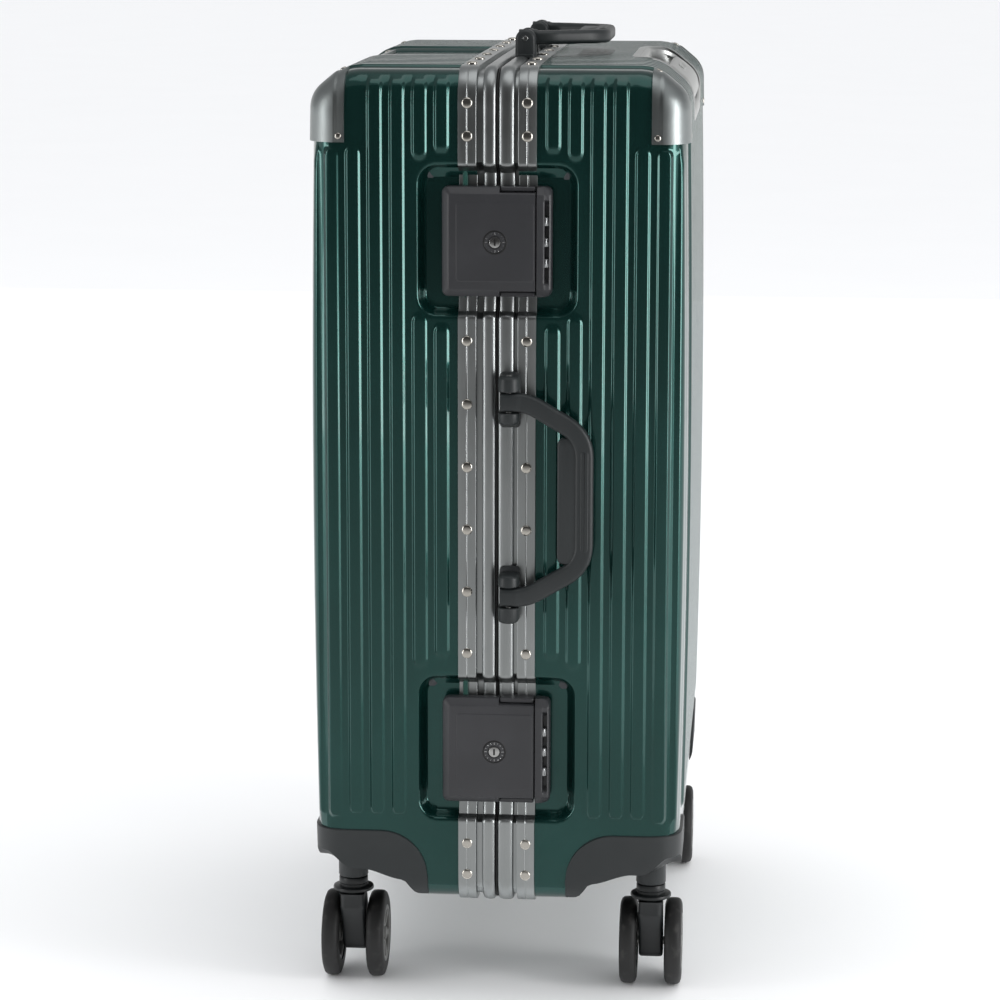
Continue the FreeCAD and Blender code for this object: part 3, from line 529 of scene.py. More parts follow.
def outside(points):
    """How far each (x, |y|, z) lies outside the case."""
    x, depth, height = np.abs(points[:, 0]), points[:, 1], np.abs(points[:, 2] - MIDDLE)
    side = x - HALF_WIDTH
    face = depth - HALF_DEPTH + SWELL * (height / HALF_HEIGHT) ** 2
    end = height - HALF_HEIGHT + CROWN * (x / HALF_WIDTH) ** 2
    slope = math.hypot(BEVEL_DEPTH, BEVEL_HEIGHT)
    bevel = ((depth - HALF_DEPTH + SWELL * 0.8) * BEVEL_HEIGHT
             + (height - HALF_HEIGHT + BEVEL_HEIGHT) * BEVEL_DEPTH) / slope
    ends = soft_max(soft_max(face, bevel, BEVEL_SOFT), end, BEVEL_SOFT)
    return soft_max(side, ends, EDGE_SOFT)


def outward(points, step=0.05):
    """The direction straight out of the case at each point."""
    slope = np.zeros_like(points)
    for axis in range(3):
        move = np.zeros(3)
        move[axis] = step
        slope[:, axis] = outside(points + move) - outside(points - move)
    return slope / np.linalg.norm(slope, axis=1, keepdims=True)


CORE_INSET = 25.0


def onto_case(box_points):
    """Moves points of the sharp box inwards to the case's own surface."""
    box_points = np.asarray(box_points, float)
    core = box_points.copy()
    core[:, 0] = np.clip(core[:, 0], -HALF_WIDTH + CORE_INSET, HALF_WIDTH - CORE_INSET)
    core[:, 1] = np.clip(core[:, 1], 0, HALF_DEPTH - CORE_INSET - 4)
    core[:, 2] = np.clip(core[:, 2], SHELL_FLOOR + CORE_INSET, SHELL_TOP - CORE_INSET)
    low, high = np.zeros(len(core)), np.full(len(core), 1.15)
    for _ in range(34):
        middle = (low + high) / 2
        out = outside(core + (box_points - core) * middle[:, None]) > 0
        high = np.where(out, middle, high)
        low = np.where(out, low, middle)
    return core + (box_points - core) * ((low + high) / 2)[:, None]


print("case form ready, half height", HALF_HEIGHT)

# %% [markdown]
# Ribs are pressed strips with round ends. A point's distance to the strip's centre line,
# put through a smooth step, gives the height of the strip there, so round ends come free.
# The ribs beside a lock stop short of its hollow. Every side rib runs over the top edge,
# which scallops it, and ribs on the broad faces wrap over the bevel to the frame.

# %% Ribs, hollows and the band on top
RIB_HEIGHT, RIB_HALF, RIB_SOFT = 2.0, 4.6, 3.2
RIB_BASE = -1.0
RIB_LOW, RIB_UNDER_GUARD = 142.0, 621.0
FAR = 2000.0
SIDE_RIBS = [
    (39.0, ((619.0, FAR), (259.0, 497.5))), (54.6, ((614.5, FAR), (252.0, 504.5))),
    (70.2, ((RIB_LOW, FAR),)), (85.9, ((RIB_LOW, FAR),)),
    (101.2, ((RIB_LOW, RIB_UNDER_GUARD + 1),)), (116.6, ((RIB_LOW - 3, RIB_UNDER_GUARD),)),
    (131.2, ((RIB_LOW - 4, RIB_UNDER_GUARD),)),
]
RIB_PITCH = 15.6
FACE_RIBS = [RIB_PITCH * (k + 0.5) for k in range(12)]
HOLLOW_WIDTH, HOLLOW_HEIGHT, HOLLOW_DEPTH, HOLLOW_CORNER, HOLLOW_WALL = 112.0, 106.0, 11.0, 14.0, 7.0
BAND_HALF, BAND_DEPTH, BAND_WALL = 54.0, 2.8, 6.0
BAND_LOW = 628.0


def smooth_step(value):
    value = np.clip(value, 0, 1)
    return value * value * (3 - 2 * value)


def strip(across, along, start, end):
    """1 on a strip with round ends and 0 beside it."""
    past = np.maximum(np.maximum(start + RIB_HALF - along, along - end + RIB_HALF), 0)
    return smooth_step((RIB_HALF + RIB_SOFT / 2 - np.hypot(across, past)) / RIB_SOFT)


def hollow(points):
    """How deep the shell is pressed in for the locks, from 0 to 1."""
    deep = np.zeros(len(points))
    for height in LOCKS.values():
        over_y = np.abs(points[:, 1]) - HOLLOW_WIDTH / 2 + HOLLOW_CORNER
        over_z = np.abs(points[:, 2] - height) - HOLLOW_HEIGHT / 2 + HOLLOW_CORNER
        gap = (np.hypot(np.maximum(over_y, 0), np.maximum(over_z, 0)) - HOLLOW_CORNER
               + np.minimum(np.maximum(over_y, over_z), 0))
        deep = np.maximum(deep, smooth_step((1.0 - gap) / HOLLOW_WALL))
    return np.where(points[:, 0] > 0, deep, 0)


def pressed(points, direction, half):
    """How far the pressing stands out from the plain form of the case."""
    x, depth, height = points.T
    sideways = smooth_step((np.abs(direction[:, 0]) - 0.3) / 0.3)
    upward = smooth_step((direction[:, 2] - 0.45) / 0.4)
    raised = np.zeros(len(points))
    for line, spans in SIDE_RIBS:
        for start, end in spans:
            raised = np.maximum(raised, strip(depth - line, height, start, end) * sideways * (1 - upward))
    wrapped = np.zeros(len(points))
    for line in FACE_RIBS:
        start = np.where(direction[:, 2] < -0.5, FAR, RIB_LOW)
        wrapped = np.maximum(wrapped, strip(np.abs(x) - line, height, start, FAR) * (depth > 26))
    high = smooth_step((height - BAND_LOW) / 6)
    band = smooth_step((BAND_HALF - np.abs(x)) / BAND_WALL) * high if half == FRONT else 0 * x
    near_band = smooth_step((BAND_HALF + 6 - np.abs(x)) / 2) * high if half == FRONT else 0 * x
    raised = np.maximum(raised, wrapped * (1 - sideways) * (1 - near_band))
    deep = hollow(points) * (direction[:, 0] > 0.5)
    return RIB_BASE * (1 - deep) + RIB_HEIGHT * raised * (1 - deep) - BAND_DEPTH * band - HOLLOW_DEPTH * deep


print("ribs per side", len(SIDE_RIBS), "face ribs", 2 * len(FACE_RIBS))

# %% [markdown]
# One half of the case is five faces of a box: two sides, the top, the bottom and the broad
# face. Each gets a grid whose lines are close together only where something is pressed into
# it. Where a fine grid meets a coarse one, the coarse face borrows the fine edge points, so
# the skin stays closed. The points are then moved to the case's form and pressed out.

# %% Grids on the box
def spread(start, end, step):
    return np.linspace(start, end, max(1, round(abs(end - start) / step)) + 1)


def lines(*spans):
    """Grid lines from (start, end, step) spans that follow each other."""
    return np.unique(np.round(np.concatenate([spread(*span) for span in spans]), 4))


def heights(zones, coarse, fine, low, high):
    """Lines from low to high, fine within the zones and coarse between them."""
    spans, at = [], low
    for start, end in sorted(zones):
        start, end = max(start, at), min(end, high)
        if end <= start:
            continue
        if start > at:
            spans.append((at, start, coarse))
        spans.append((start, end, fine))
        at = end
    if at < high:
        spans.append((at, high, coarse))
    return lines(*spans)


class Skin:
    """Quads on the box's faces that share the points on the box's edges."""

    def __init__(self):
        self.index, self.points, self.grids = {}, [], []

    def point(self, place):
        key = tuple(np.round(place, 3))
        if key not in self.index:
            self.index[key] = len(self.points)
            self.points.append(key)
        return self.index[key]

    def grid(self, fixed, level, first, second, keep=None):
        """A face at one level of the fixed axis, with lines along the other two."""
        axes = [axis for axis in range(3) if axis != fixed]
        self.grids.append((fixed, level, axes, first, second, keep))

    def edge_points(self):
        """All grid points by the edge line of the box that they lie on."""
        edges = {}
        for fixed, level, axes, first, second, _ in self.grids:
            for along, across, marks, ends in ((0, 1, first, second), (1, 0, second, first)):
                for end in (ends[0], ends[-1]):
                    key = tuple(sorted(((fixed, round(float(level), 3)),
                                        (axes[across], round(float(end), 3)))))
                    edges.setdefault(key, set()).update(round(float(mark), 3) for mark in marks)
        return {key: sorted(marks) for key, marks in edges.items()}

    def faces(self):
        edges = self.edge_points()
        made = []
        for fixed, level, axes, first, second, keep in self.grids:
            def corner(u, v):
                place = np.zeros(3)
                place[fixed], place[axes[0]], place[axes[1]] = level, u, v
                return self.point(place)

            def between(axis, end, start, stop):
                """Extra points of a neighbour's grid along one border."""
                key = tuple(sorted(((fixed, round(float(level), 3)), (axes[axis], round(float(end), 3)))))
                low, high = sorted((round(float(start), 3), round(float(stop), 3)))
                marks = [mark for mark in edges[key] if low < mark < high]
                return marks if start < stop else marks[::-1]

            for i in range(len(first) - 1):
                for j in range(len(second) - 1):
                    u0, u1, v0, v1 = first[i], first[i + 1], second[j], second[j + 1]
                    if keep is not None and not keep((u0 + u1) / 2, (v0 + v1) / 2):
                        continue
                    loop = [corner(u0, v0)]
                    if j == 0:
                        loop += [corner(u, v0) for u in between(1, v0, u0, u1)]
                    loop.append(corner(u1, v0))
                    if i == len(first) - 2:
                        loop += [corner(u1, v) for v in between(0, u1, v0, v1)]
                    loop.append(corner(u1, v1))
                    if j == len(second) - 2:
                        loop += [corner(u, v1) for u in between(1, v1, u1, u0)]
                    loop.append(corner(u0, v1))
                    if i == 0:
                        loop += [corner(u0, v) for v in between(0, u0, v1, v0)]
                    made.append(loop)
        return made


FINE = 1.56
rib_ends = [(end - 8, end + 8) for _, spans in SIDE_RIBS for span in spans for end in span if end < FAR]
hollow_zones = []
for height in LOCKS.values():
    low, high = height - HOLLOW_HEIGHT / 2, height + HOLLOW_HEIGHT / 2
    hollow_zones += [(low - 3, low + 18), (high - 18, high + 3)]
round_ends = [(SHELL_FLOOR, SHELL_FLOOR + 26), (SHELL_TOP - 52, SHELL_TOP)]


def merged(zones):
    joined = []
    for start, end in sorted(zones):
        if joined and start <= joined[-1][1] + 3:
            joined[-1][1] = max(joined[-1][1], end)
        else:
            joined.append([start, end])
    return joined


LOCK_ROWS = heights(merged(rib_ends + hollow_zones + round_ends), 7.0, FINE, SHELL_FLOOR, SHELL_TOP)
HINGE_ROWS = heights(merged(rib_ends + round_ends), 9.0, FINE, SHELL_FLOOR, SHELL_TOP)
FACE_ROWS = heights(merged([(RIB_LOW - 3, RIB_LOW + 8)] + round_ends), 14.0, FINE * 1.6,
                    SHELL_FLOOR, SHELL_TOP)
WALL_STEPS = np.array([-6.3, -5.7, -5.1, -4.5, -3.9, -3.3, -2.6, 2.6, 3.3, 3.9, 4.5, 5.1, 5.7, 6.3])
hollow_walls = HOLLOW_WIDTH / 2 - HOLLOW_WALL + np.arange(9.0)
DEPTH_LINES = np.unique(np.round(np.concatenate(
    [(SPLIT_SIDE, 18.5, 22.5, 26.5, 30.0, 135.0, HALF_DEPTH), hollow_walls]
    + [line + WALL_STEPS for line, _ in SIDE_RIBS]), 4))
DEPTH_LINES = DEPTH_LINES[DEPTH_LINES <= HALF_DEPTH]
DEPTH_LINES = DEPTH_LINES[np.append(np.diff(DEPTH_LINES) > 0.35, True)]
COARSE_STEPS = np.array([-6.2, -5.2, -4.2, -3.1, 3.1, 4.2, 5.2, 6.2])
across_ribs = [side * line + COARSE_STEPS for line in FACE_RIBS for side in (-1, 1)]
WIDTH_LINES = np.unique(np.round(np.concatenate(across_ribs + [
    np.arange(188.4, HALF_WIDTH, 3.2), -np.arange(188.4, HALF_WIDTH, 3.2), (-HALF_WIDTH, HALF_WIDTH)]), 4))
COARSE_WIDTH = lines((-HALF_WIDTH, -198, 4.0), (-198, 198, 12.0), (198, HALF_WIDTH, 4.0))
COARSE_DEPTH = lines((SPLIT_SIDE, 111, 12.0), (111, HALF_DEPTH, 4.0))
print("rows", len(LOCK_ROWS), len(HINGE_ROWS), len(FACE_ROWS), "across", len(DEPTH_LINES), len(WIDTH_LINES))

# %% [markdown]
# The housings of the casters cover the lower corners and the handle cup fills a hole in the
# top of the back half, so the skin leaves those out. The cells under a housing go where its
# own skin, a millimetre further out, hides the cut.

# %% Where the shell is open
HOUSING_TOP, HOUSING_X, HOUSING_Y, HOUSING_ROUND = 129.0, 128.0, 50.0, 34.0
CUT_MARGIN = 3.0
cup_low, cup_high = reach("trolley_cup")
CUP_HALF, CUP_NEAR, CUP_FLOOR = cup_high[0], cup_low[1], cup_low[2]


def housing_line(across, inner):
    """The height of a housing's upper outline, at a distance across the case."""
    into = np.clip(inner + HOUSING_ROUND - np.asarray(across, float), 0, HOUSING_ROUND)
    return HOUSING_TOP - HOUSING_ROUND + np.sqrt(HOUSING_ROUND ** 2 - into ** 2)


def side_kept(depth, height):
    return depth < HOUSING_Y + CUT_MARGIN or height > housing_line(depth, HOUSING_Y) - CUT_MARGIN


def face_kept(x, height):
    return abs(x) < HOUSING_X + CUT_MARGIN or height > housing_line(abs(x), HOUSING_X) - CUT_MARGIN


def bottom_kept(x, depth):
    return abs(x) < HOUSING_X + CUT_MARGIN or depth < HOUSING_Y + CUT_MARGIN


CUP_CUT = 3.0


def cup_kept(x, depth):
    return abs(x) > CUP_HALF - CUP_CUT or depth < CUP_NEAR + CUP_CUT


def cup_face_kept(x, height):
    return face_kept(x, height) and (abs(x) > CUP_HALF - CUP_CUT or height < CUP_FLOOR + CUP_CUT)


def case_skin(half, coarse=False):
    """The grids of one half, fine for the outside or coarse for the inside."""
    skin = Skin()
    depth = COARSE_DEPTH if coarse else DEPTH_LINES
    width = COARSE_WIDTH if coarse else WIDTH_LINES
    rows = {1: FACE_ROWS, -1: FACE_ROWS} if coarse else {1: LOCK_ROWS, -1: HINGE_ROWS}
    has_cup = half == BACK
    for edge in (1, -1):
        skin.grid(0, edge * HALF_WIDTH, depth, rows[edge], side_kept)
    skin.grid(1, HALF_DEPTH, width, FACE_ROWS, cup_face_kept if has_cup else face_kept)
    skin.grid(2, SHELL_TOP, width, depth, cup_kept if has_cup else None)
    skin.grid(2, SHELL_FLOOR, COARSE_WIDTH, COARSE_DEPTH, bottom_kept)
    faces = skin.faces()
    return np.array(skin.points), faces


WALL = 2.0


def make_shell(name, half):
    form = Form()
    for coarse in (False, True):
        box_points, faces = case_skin(half, coarse)
        on_case = onto_case(box_points)
        direction = outward(on_case)
        if coarse:
            deep = hollow(on_case) * (direction[:, 0] > 0.5)
            lift = -WALL - 1.0 - HOLLOW_DEPTH * deep
        else:
            lift = pressed(on_case, direction, half)
        points = on_case + direction * lift[:, None]
        points[:, 1] *= half
        form.add(points, faces if half == BACK else [face[::-1] for face in faces], int(coarse))
    shell = form.piece(name, [SHELL_GREEN, SHELL_GREEN], crisp=50)
    stands_for(shell, f"{name.split('_')[0]}_shell")
    return shell


for name, half in HALVES.items():
    make_shell(f"{name}_shell_pressing", half)

# %% [markdown]
# Each half ends in an aluminium bar, bent round and riveted on: a rounded lip that meets the
# other half, a dark groove, and a flat band that holds the shell. Every bar of this kind is
# one outline carried along one path, so the path is read from the case's form, with the dips
# for the locks, and the outline is drawn once for each half.

# %% Frame bars
LIP_END = {"front": 10.2, "back": 12.0}
BAND_START, BAND_END, BAND_PROUD = 14.5, 27.5, 1.2
RIVET_LINE = 21.0


def frame_path(depth):
    """Points round the case at one depth, in x and z, with the way out at each."""
    end_x = lines((-HALF_WIDTH, -190, 1.6), (-190, 190, 19.0), (190, HALF_WIDTH, 1.6))
    walls = [(height + turn * HOLLOW_HEIGHT / 2 - 9, height + turn * HOLLOW_HEIGHT / 2 + 3)
             for height in LOCKS.values() for turn in (-1, 1)]
    ends = [(SHELL_FLOOR, SHELL_FLOOR + 30), (SHELL_TOP - 30, SHELL_TOP)]
    side_z = heights(merged(walls + ends), 18.0, 0.9, SHELL_FLOOR, SHELL_TOP)
    plain_z = heights(ends, 18.0, 1.6, SHELL_FLOOR, SHELL_TOP)
    box = [(x, depth, SHELL_TOP) for x in end_x[:-1]]
    box += [(HALF_WIDTH, depth, z) for z in side_z[::-1][:-1]]
    box += [(x, depth, SHELL_FLOOR) for x in end_x[::-1][:-1]]
    box += [(-HALF_WIDTH, depth, z) for z in plain_z[:-1]]
    points = onto_case(box)
    out = outward(points)
    points = points - out * (HOLLOW_DEPTH * hollow(points) * (out[:, 0] > 0.5))[:, None]
    flat = points[:, [0, 2]]
    along = np.roll(flat, -1, 0) - np.roll(flat, 1, 0)
    along /= np.linalg.norm(along, axis=1, keepdims=True)
    return flat, np.column_stack([-along[:, 1], along[:, 0]])


def carry(form, outline, half, finish=0, depth=RIVET_LINE):
    """Carries a closed (depth, height) outline round the case."""
    flat, out = frame_path(depth)
    rings = []
    for place, way in zip(flat, out):
        rings.append([(place[0] + way[0] * lift, half * deep, place[1] + way[1] * lift)
                      for deep, lift in outline])
    form.stack(rings, finish, closed=True)


def frame_outline(lip_end):
    """Lip, groove and grooved band, from the split outwards and back along the inside."""
    middle, reach_out = (0.9 + lip_end) / 2, (lip_end - 0.9) / 2
    lip = [(middle - reach_out * math.cos(math.pi * k / 14), -1.6 + 3.1 * math.sin(math.pi * k / 14) ** 0.75)
           for k in range(15)]
    groove = [(lip_end + 0.2, -3.2), (BAND_START - 0.3, -3.2), (BAND_START, -2.8)]
    band = [(BAND_START, 0.75), (BAND_START + 0.25, 1.1), (BAND_START + 0.6, BAND_PROUD),
            (RIVET_LINE - 0.55, BAND_PROUD), (RIVET_LINE - 0.3, 0.95), (RIVET_LINE, 0.85),
            (RIVET_LINE + 0.3, 0.95), (RIVET_LINE + 0.55, BAND_PROUD), (BAND_END - 0.6, BAND_PROUD),
            (BAND_END - 0.2, 1.05), (BAND_END, 0.6), (BAND_END, -1.4)]
    inside = [(BAND_START + 1.0, -1.4), (BAND_START + 0.8, -4.6), (0.9, -4.6)]
    return lip + groove + band + inside


for name, half in HALVES.items():
    bar = Form()
    carry(bar, frame_outline(LIP_END[name]), half)
    stands_for(bar.piece(f"{name}_frame_bar", [FRAME_GREY], crisp=40), f"{name}_frame")

# %% [markdown]
# A soft rubber bead sits between the two lips and keeps rain and dust out. It is the thin
# black line down the middle, so it is a small rounded outline carried along the same path.

# %% Rubber bead between the halves
bead = Form()
SEAL_PLACES = [(-0.75, -4.0), (-0.75, -1.4), (-0.5, -0.75), (0.0, -0.5), (0.5, -0.75), (0.75, -1.4),
               (0.75, -4.0)]
carry(bead, SEAL_PLACES, FRONT)
stands_for(bead.piece("seal_bead", [SEAL_BLACK], crisp=50), "frame_seal")

# %% [markdown]
# The bands are held by domed rivets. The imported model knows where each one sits, and which
# way it faces is the way its box is thinnest, so each is turned there about that axis.

# %% Rivets
RIVET_DOME = [(3.1, -1.6), (3.85, -1.6), (3.85, 0.15), (3.75, 0.4), (3.35, 0.8), (2.6, 1.15), (1.5, 1.35),
              (0.0, 1.42)]


def rivets(name, node):
    form = Form()
    for low, high in islands(node):
        centre, spread_out = (low + high) / 2, high - low
        axis = int(np.argmin(spread_out))
        centre_of_case = (0, 0, MIDDLE)[axis]
        way = np.zeros(3)
        way[axis] = 1 if centre[axis] > centre_of_case else -1
        centre[axis] = low[axis] if way[axis] > 0 else high[axis]
        form.turn(RIVET_DOME, centre, way, 28)
    return form.piece(name, [NICKEL], crisp=60)


for name in HALVES:
    stands_for(rivets(f"{name}_band_rivets", f"{name}_rivets"), f"{name}_rivets")

# %% [markdown]
# The upper corners are capped with pressed metal guards. A guard is a patch of the case's
# own form, moved out a little, with a lower flange along its inner edges where it is riveted
# on. Its edge is folded in, so it has a thickness to look at.

# %% Corner guards
GUARD_X, GUARD_Y, GUARD_Z = 186.0, 107.0, 625.0
GUARD_OUT, FLANGE_OUT, FLANGE_WIDTH = 1.75, 0.95, 6.0
EDGE_FOLD = 2.6


def fold_edge(points, faces, way, depth):
    """Extra points and quads that turn a patch's free edges inwards."""
    count = {}
    for face in faces:
        for a, b in zip(face, face[1:] + face[:1]):
            key = (min(a, b), max(a, b))
            count.setdefault(key, []).append((a, b))
    free = [sides[0] for sides in count.values() if len(sides) == 1]
    turned, extra, quads = {}, [], []
    for vertex in sorted({v for pair in free for v in pair}):
        turned[vertex] = len(points) + len(extra)
        extra.append(points[vertex] - way[vertex] * depth)
    for a, b in free:
        quads.append([b, a, turned[a], turned[b]])
    return np.vstack([points, extra]), faces + quads


def patch(form, skin, lift, half, finish=0, fold=EDGE_FOLD):
    """Puts grids of the box on the case's form, lifted by a rule, with the edge folded in."""
    faces = skin.faces()
    on_case = onto_case(skin.points)
    way = outward(on_case)
    points = on_case + way * lift(on_case)[:, None]
    points, faces = fold_edge(points, faces, way, fold)
    points[:, 1] *= half
    form.add(points, faces, finish)


SCREW_HEAD = [(2.0, -2.0), (2.35, -1.0), (2.35, 0.2), (2.1, 0.6), (1.4, 0.9), (0.55, 1.0), (0.5, 0.75),
              (0, 0.7)]


def stud(form, box_point, lift, half, finish):
    """A small round stud that stands square on the case."""
    place = onto_case([box_point])
    way = outward(place)
    foot = (place + way * lift)[0] * (1, half, 1)
    form.turn(SCREW_HEAD, foot, way[0] * (1, half, 1), 20, finish)


def guard_lift(points):
    inner = np.minimum(points[:, 1] - GUARD_Y, np.abs(points[:, 0]) - GUARD_X)
    body = smooth_step((inner - FLANGE_WIDTH + 0.8) / 1.6)
    return FLANGE_OUT + (GUARD_OUT - FLANGE_OUT) * body


for name, half in HALVES.items():
    guards = Form()
    for edge in (-1, 1):
        corner_skin = Skin()
        depth = lines((GUARD_Y, GUARD_Y + 8, 0.8), (GUARD_Y + 8, HALF_DEPTH, 1.8))
        width = lines((GUARD_X, GUARD_X + 8, 0.8), (GUARD_X + 8, HALF_WIDTH, 1.8)) * edge
        width = np.sort(width)
        rise = lines((GUARD_Z, SHELL_TOP, 1.8))
        corner_skin.grid(0, edge * HALF_WIDTH, depth, rise)
        corner_skin.grid(1, HALF_DEPTH, width, rise)
        corner_skin.grid(2, SHELL_TOP, width, depth)
        patch(guards, corner_skin, guard_lift, half)
        stud(guards, (edge * HALF_WIDTH, GUARD_Y + 4.2, GUARD_Z + 4.5), FLANGE_OUT, half, 1)
        stud(guards, (edge * (GUARD_X + 4.2), GUARD_Y + 4.2, SHELL_TOP), FLANGE_OUT, half, 1)
        stud(guards, (edge * (GUARD_X + 4.2), HALF_DEPTH, GUARD_Z + 4.5), FLANGE_OUT, half, 1)
    guards_made = guards.piece(f"{name}_corner_caps", [GUARD_GREY, NICKEL], crisp=38)
    stands_for(guards_made, f"{name}_corner_guards")

# %% [markdown]
# On the front half's top a smooth sunken band runs back to front, and a small plate with two
# studs finishes it where it goes over the bevel. The plate is a patch like the guards.

# %% Trim plate at the end of the band
trim_low, trim_high = reach("front_trim_plate")
TRIM_HALF, TRIM_Y, TRIM_Z = trim_high[0], -trim_high[1], trim_low[2]
trim = Form()
trim_skin = Skin()
across = lines((-TRIM_HALF, TRIM_HALF, 5.0))
trim_skin.grid(2, SHELL_TOP, across, lines((TRIM_Y, HALF_DEPTH, 2.0)))
trim_skin.grid(1, HALF_DEPTH, across, lines((TRIM_Z, SHELL_TOP, 2.0)))
patch(trim, trim_skin, lambda points: np.full(len(points), -0.9), FRONT, fold=2.2)
for edge in (-1, 1):
    stud(trim, (edge * (TRIM_HALF - 6), TRIM_Y + 6, SHELL_TOP), -0.9, FRONT, 1)
    stud(trim, (edge * (TRIM_HALF - 6), HALF_DEPTH, TRIM_Z + 6), -0.9, FRONT, 1)
stands_for(trim.piece("front_trim_cap", [FRAME_GREY, NICKEL], crisp=38), "front_trim_plate")

# %% [markdown]
# The lower corners are nylon housings that carry the casters. Seen from the side a housing
# has a flat top line that drops in a quarter circle, and it arches underneath to make room
# for the wheels. Two patches follow the case's form between those two lines, a third closes
# the underside between them, and a turned boss comes down over the caster's stem.

# %% Caster housings
HOUSING_OUT = 1.0
ARCH = ((0, 12, 18.0), (10, 32, 8.0), (48, 22, 12.0))
CASTER_X, CASTER_Y, BOSS_FLOOR = 170.0, 110.0, SHELL_FLOOR + 6.0
BOSS = [(17.0, 34.0), (15.0, 28.0), (13.2, 23.0), (12.6, 18.0), (12.4, 16.6), (11.1, 16.2),
        (10.9, 15.5), (10.9, 1.0), (10.4, 0.2), (9.6, 0.0), (9.0, 1.2)]


def arch(into):
    """How high the arch is, by how far into it a point lies: a steep wall, then a slow rise."""
    return sum(rise * smooth_step((into - start) / over) for start, over, rise in ARCH)


def underside(x, depth):
    """How high the housing's lower line is."""
    into_x, into_y = (np.asarray(x, float) - 129) * 0.9, np.asarray(depth, float) - 56
    return SHELL_FLOOR + arch(into_x) * arch(into_y) / sum(rise for _, _, rise in ARCH)


def across_housing(inner, outer):
    """Lines that are close where the quarter circle is steep."""
    arc = inner + HOUSING_ROUND * (1 - np.cos(np.linspace(0, math.pi / 2, 15)))
    return np.concatenate([arc, spread(inner + HOUSING_ROUND, outer, 3.0)[1:]])


def housing(form, edge, half, rows=12):
    depths, widths = across_housing(HOUSING_Y, HALF_DEPTH), across_housing(HOUSING_X, HALF_WIDTH)
    low_lines = []
    for inner, marks, along_depth in ((HOUSING_Y, depths, True), (HOUSING_X, widths, False)):
        rings = []
        for step in range(rows + 3):
            box = []
            for mark in marks:
                x, depth = (HALF_WIDTH, mark) if along_depth else (mark, HALF_DEPTH)
                low, high = float(underside(x, depth)), float(housing_line(mark, inner))
                high = max(high, low + 3)
                rise = low + (high - low) * min(step / rows, 1) + (0.5 if step == rows + 1 else 0)
                box.append((x, depth, rise + (0.8 if step > rows + 1 else 0)))
            on_case = onto_case(box)
            lift = HOUSING_OUT if step <= rows else (HOUSING_OUT - 0.5 if step == rows + 1 else -2.5)
            way = outward(on_case)
            ring = on_case + way * lift
            first = ring[0] - way[0] * 3 - (0, 0.6, 0) if along_depth else ring[0] - way[0] * 3 - (0.6, 0, 0)
            rings.append(np.vstack([[first], ring]))
        low_lines.append(rings[0][1:])
        points = np.vstack(rings)
        wide = len(marks) + 1
        faces = [[r * wide + k, r * wide + k + 1, (r + 1) * wide + k + 1, (r + 1) * wide + k]
                 for r in range(len(rings) - 1) for k in range(wide - 1)]
        form.add(points * (edge, half, 1), faces)
    side_low, face_low = low_lines
    points = np.zeros((len(widths), len(depths), 3))
    for i, x in enumerate(widths):
        for j, depth in enumerate(depths):
            s, t = (x - HOUSING_X) / (HALF_WIDTH - HOUSING_X), (depth - HOUSING_Y) / (HALF_DEPTH - HOUSING_Y)
            near_side = side_low[j] - (HALF_WIDTH, depth, underside(HALF_WIDTH, depth))
            near_face = face_low[i] - (x, HALF_DEPTH, underside(x, HALF_DEPTH))
            corner = side_low[-1] - (HALF_WIDTH, HALF_DEPTH, underside(HALF_WIDTH, HALF_DEPTH))
            points[i, j] = (x, depth, underside(x, depth)) + s * near_side + t * near_face - s * t * corner
    deep = len(depths)
    faces = [[i * deep + j, i * deep + j + 1, (i + 1) * deep + j + 1, (i + 1) * deep + j]
             for i in range(len(widths) - 1) for j in range(deep - 1)]
    form.add(points.reshape(-1, 3) * (edge, half, 1), faces)
    form.turn(BOSS, (edge * CASTER_X, half * CASTER_Y, BOSS_FLOOR), (0, 0, 1), 40)


for name, half in HALVES.items():
    corners = Form()
    for edge in (-1, 1):
        housing(corners, edge, half)
    housings_made = corners.piece(f"{name}_wheel_housings", [CHARCOAL], crisp=42)
    stands_for(housings_made, f"{name}_caster_housings")

# %% [markdown]
# A caster is a fork that swivels under the boss with a wheel on each side. The fork is a
# turned collar and plate with a leaning web below, drawn as a side outline and given rounded
# flanks by stacking that outline with a small inset at both ends.

# %% Caster forks
def capsule(start, end, start_radius, end_radius, steps=14):
    """A tapered outline round two points in a plane, in (u, v)."""
    start, end = np.array(start, float), np.array(end, float)
    away = math.atan2(*(end - start)[::-1])
    points = []
    for centre, radius, turn in ((start, start_radius, away + math.pi / 2),
                                 (end, end_radius, away - math.pi / 2)):
        for k in range(steps + 1):
            angle = turn + math.pi * k / steps
            points.append(tuple(centre + radius * np.array((math.cos(angle), math.sin(angle)))))
    return points


COLLAR = [(4, 11.2), (10.3, 11.2), (10.6, 10.8), (10.6, 7.3), (10.1, 7.0), (10.1, 6.6), (10.6, 6.3),
          (10.6, 4.6), (12.2, 4.3), (14.6, 3.9), (14.9, 3.2), (14.9, 2.0), (14.2, 1.4), (6, 1.0)]
STEM = [(4.0, 0), (5.8, 0), (5.8, 23), (5.2, 24), (2, 24)]
WEB_FLANKS = ((-8.8, 1.6), (-8.3, 0.7), (-7.4, 0.15), (-6.5, 0), (6.5, 0), (7.4, 0.15), (8.3, 0.7),
              (8.8, 1.6))


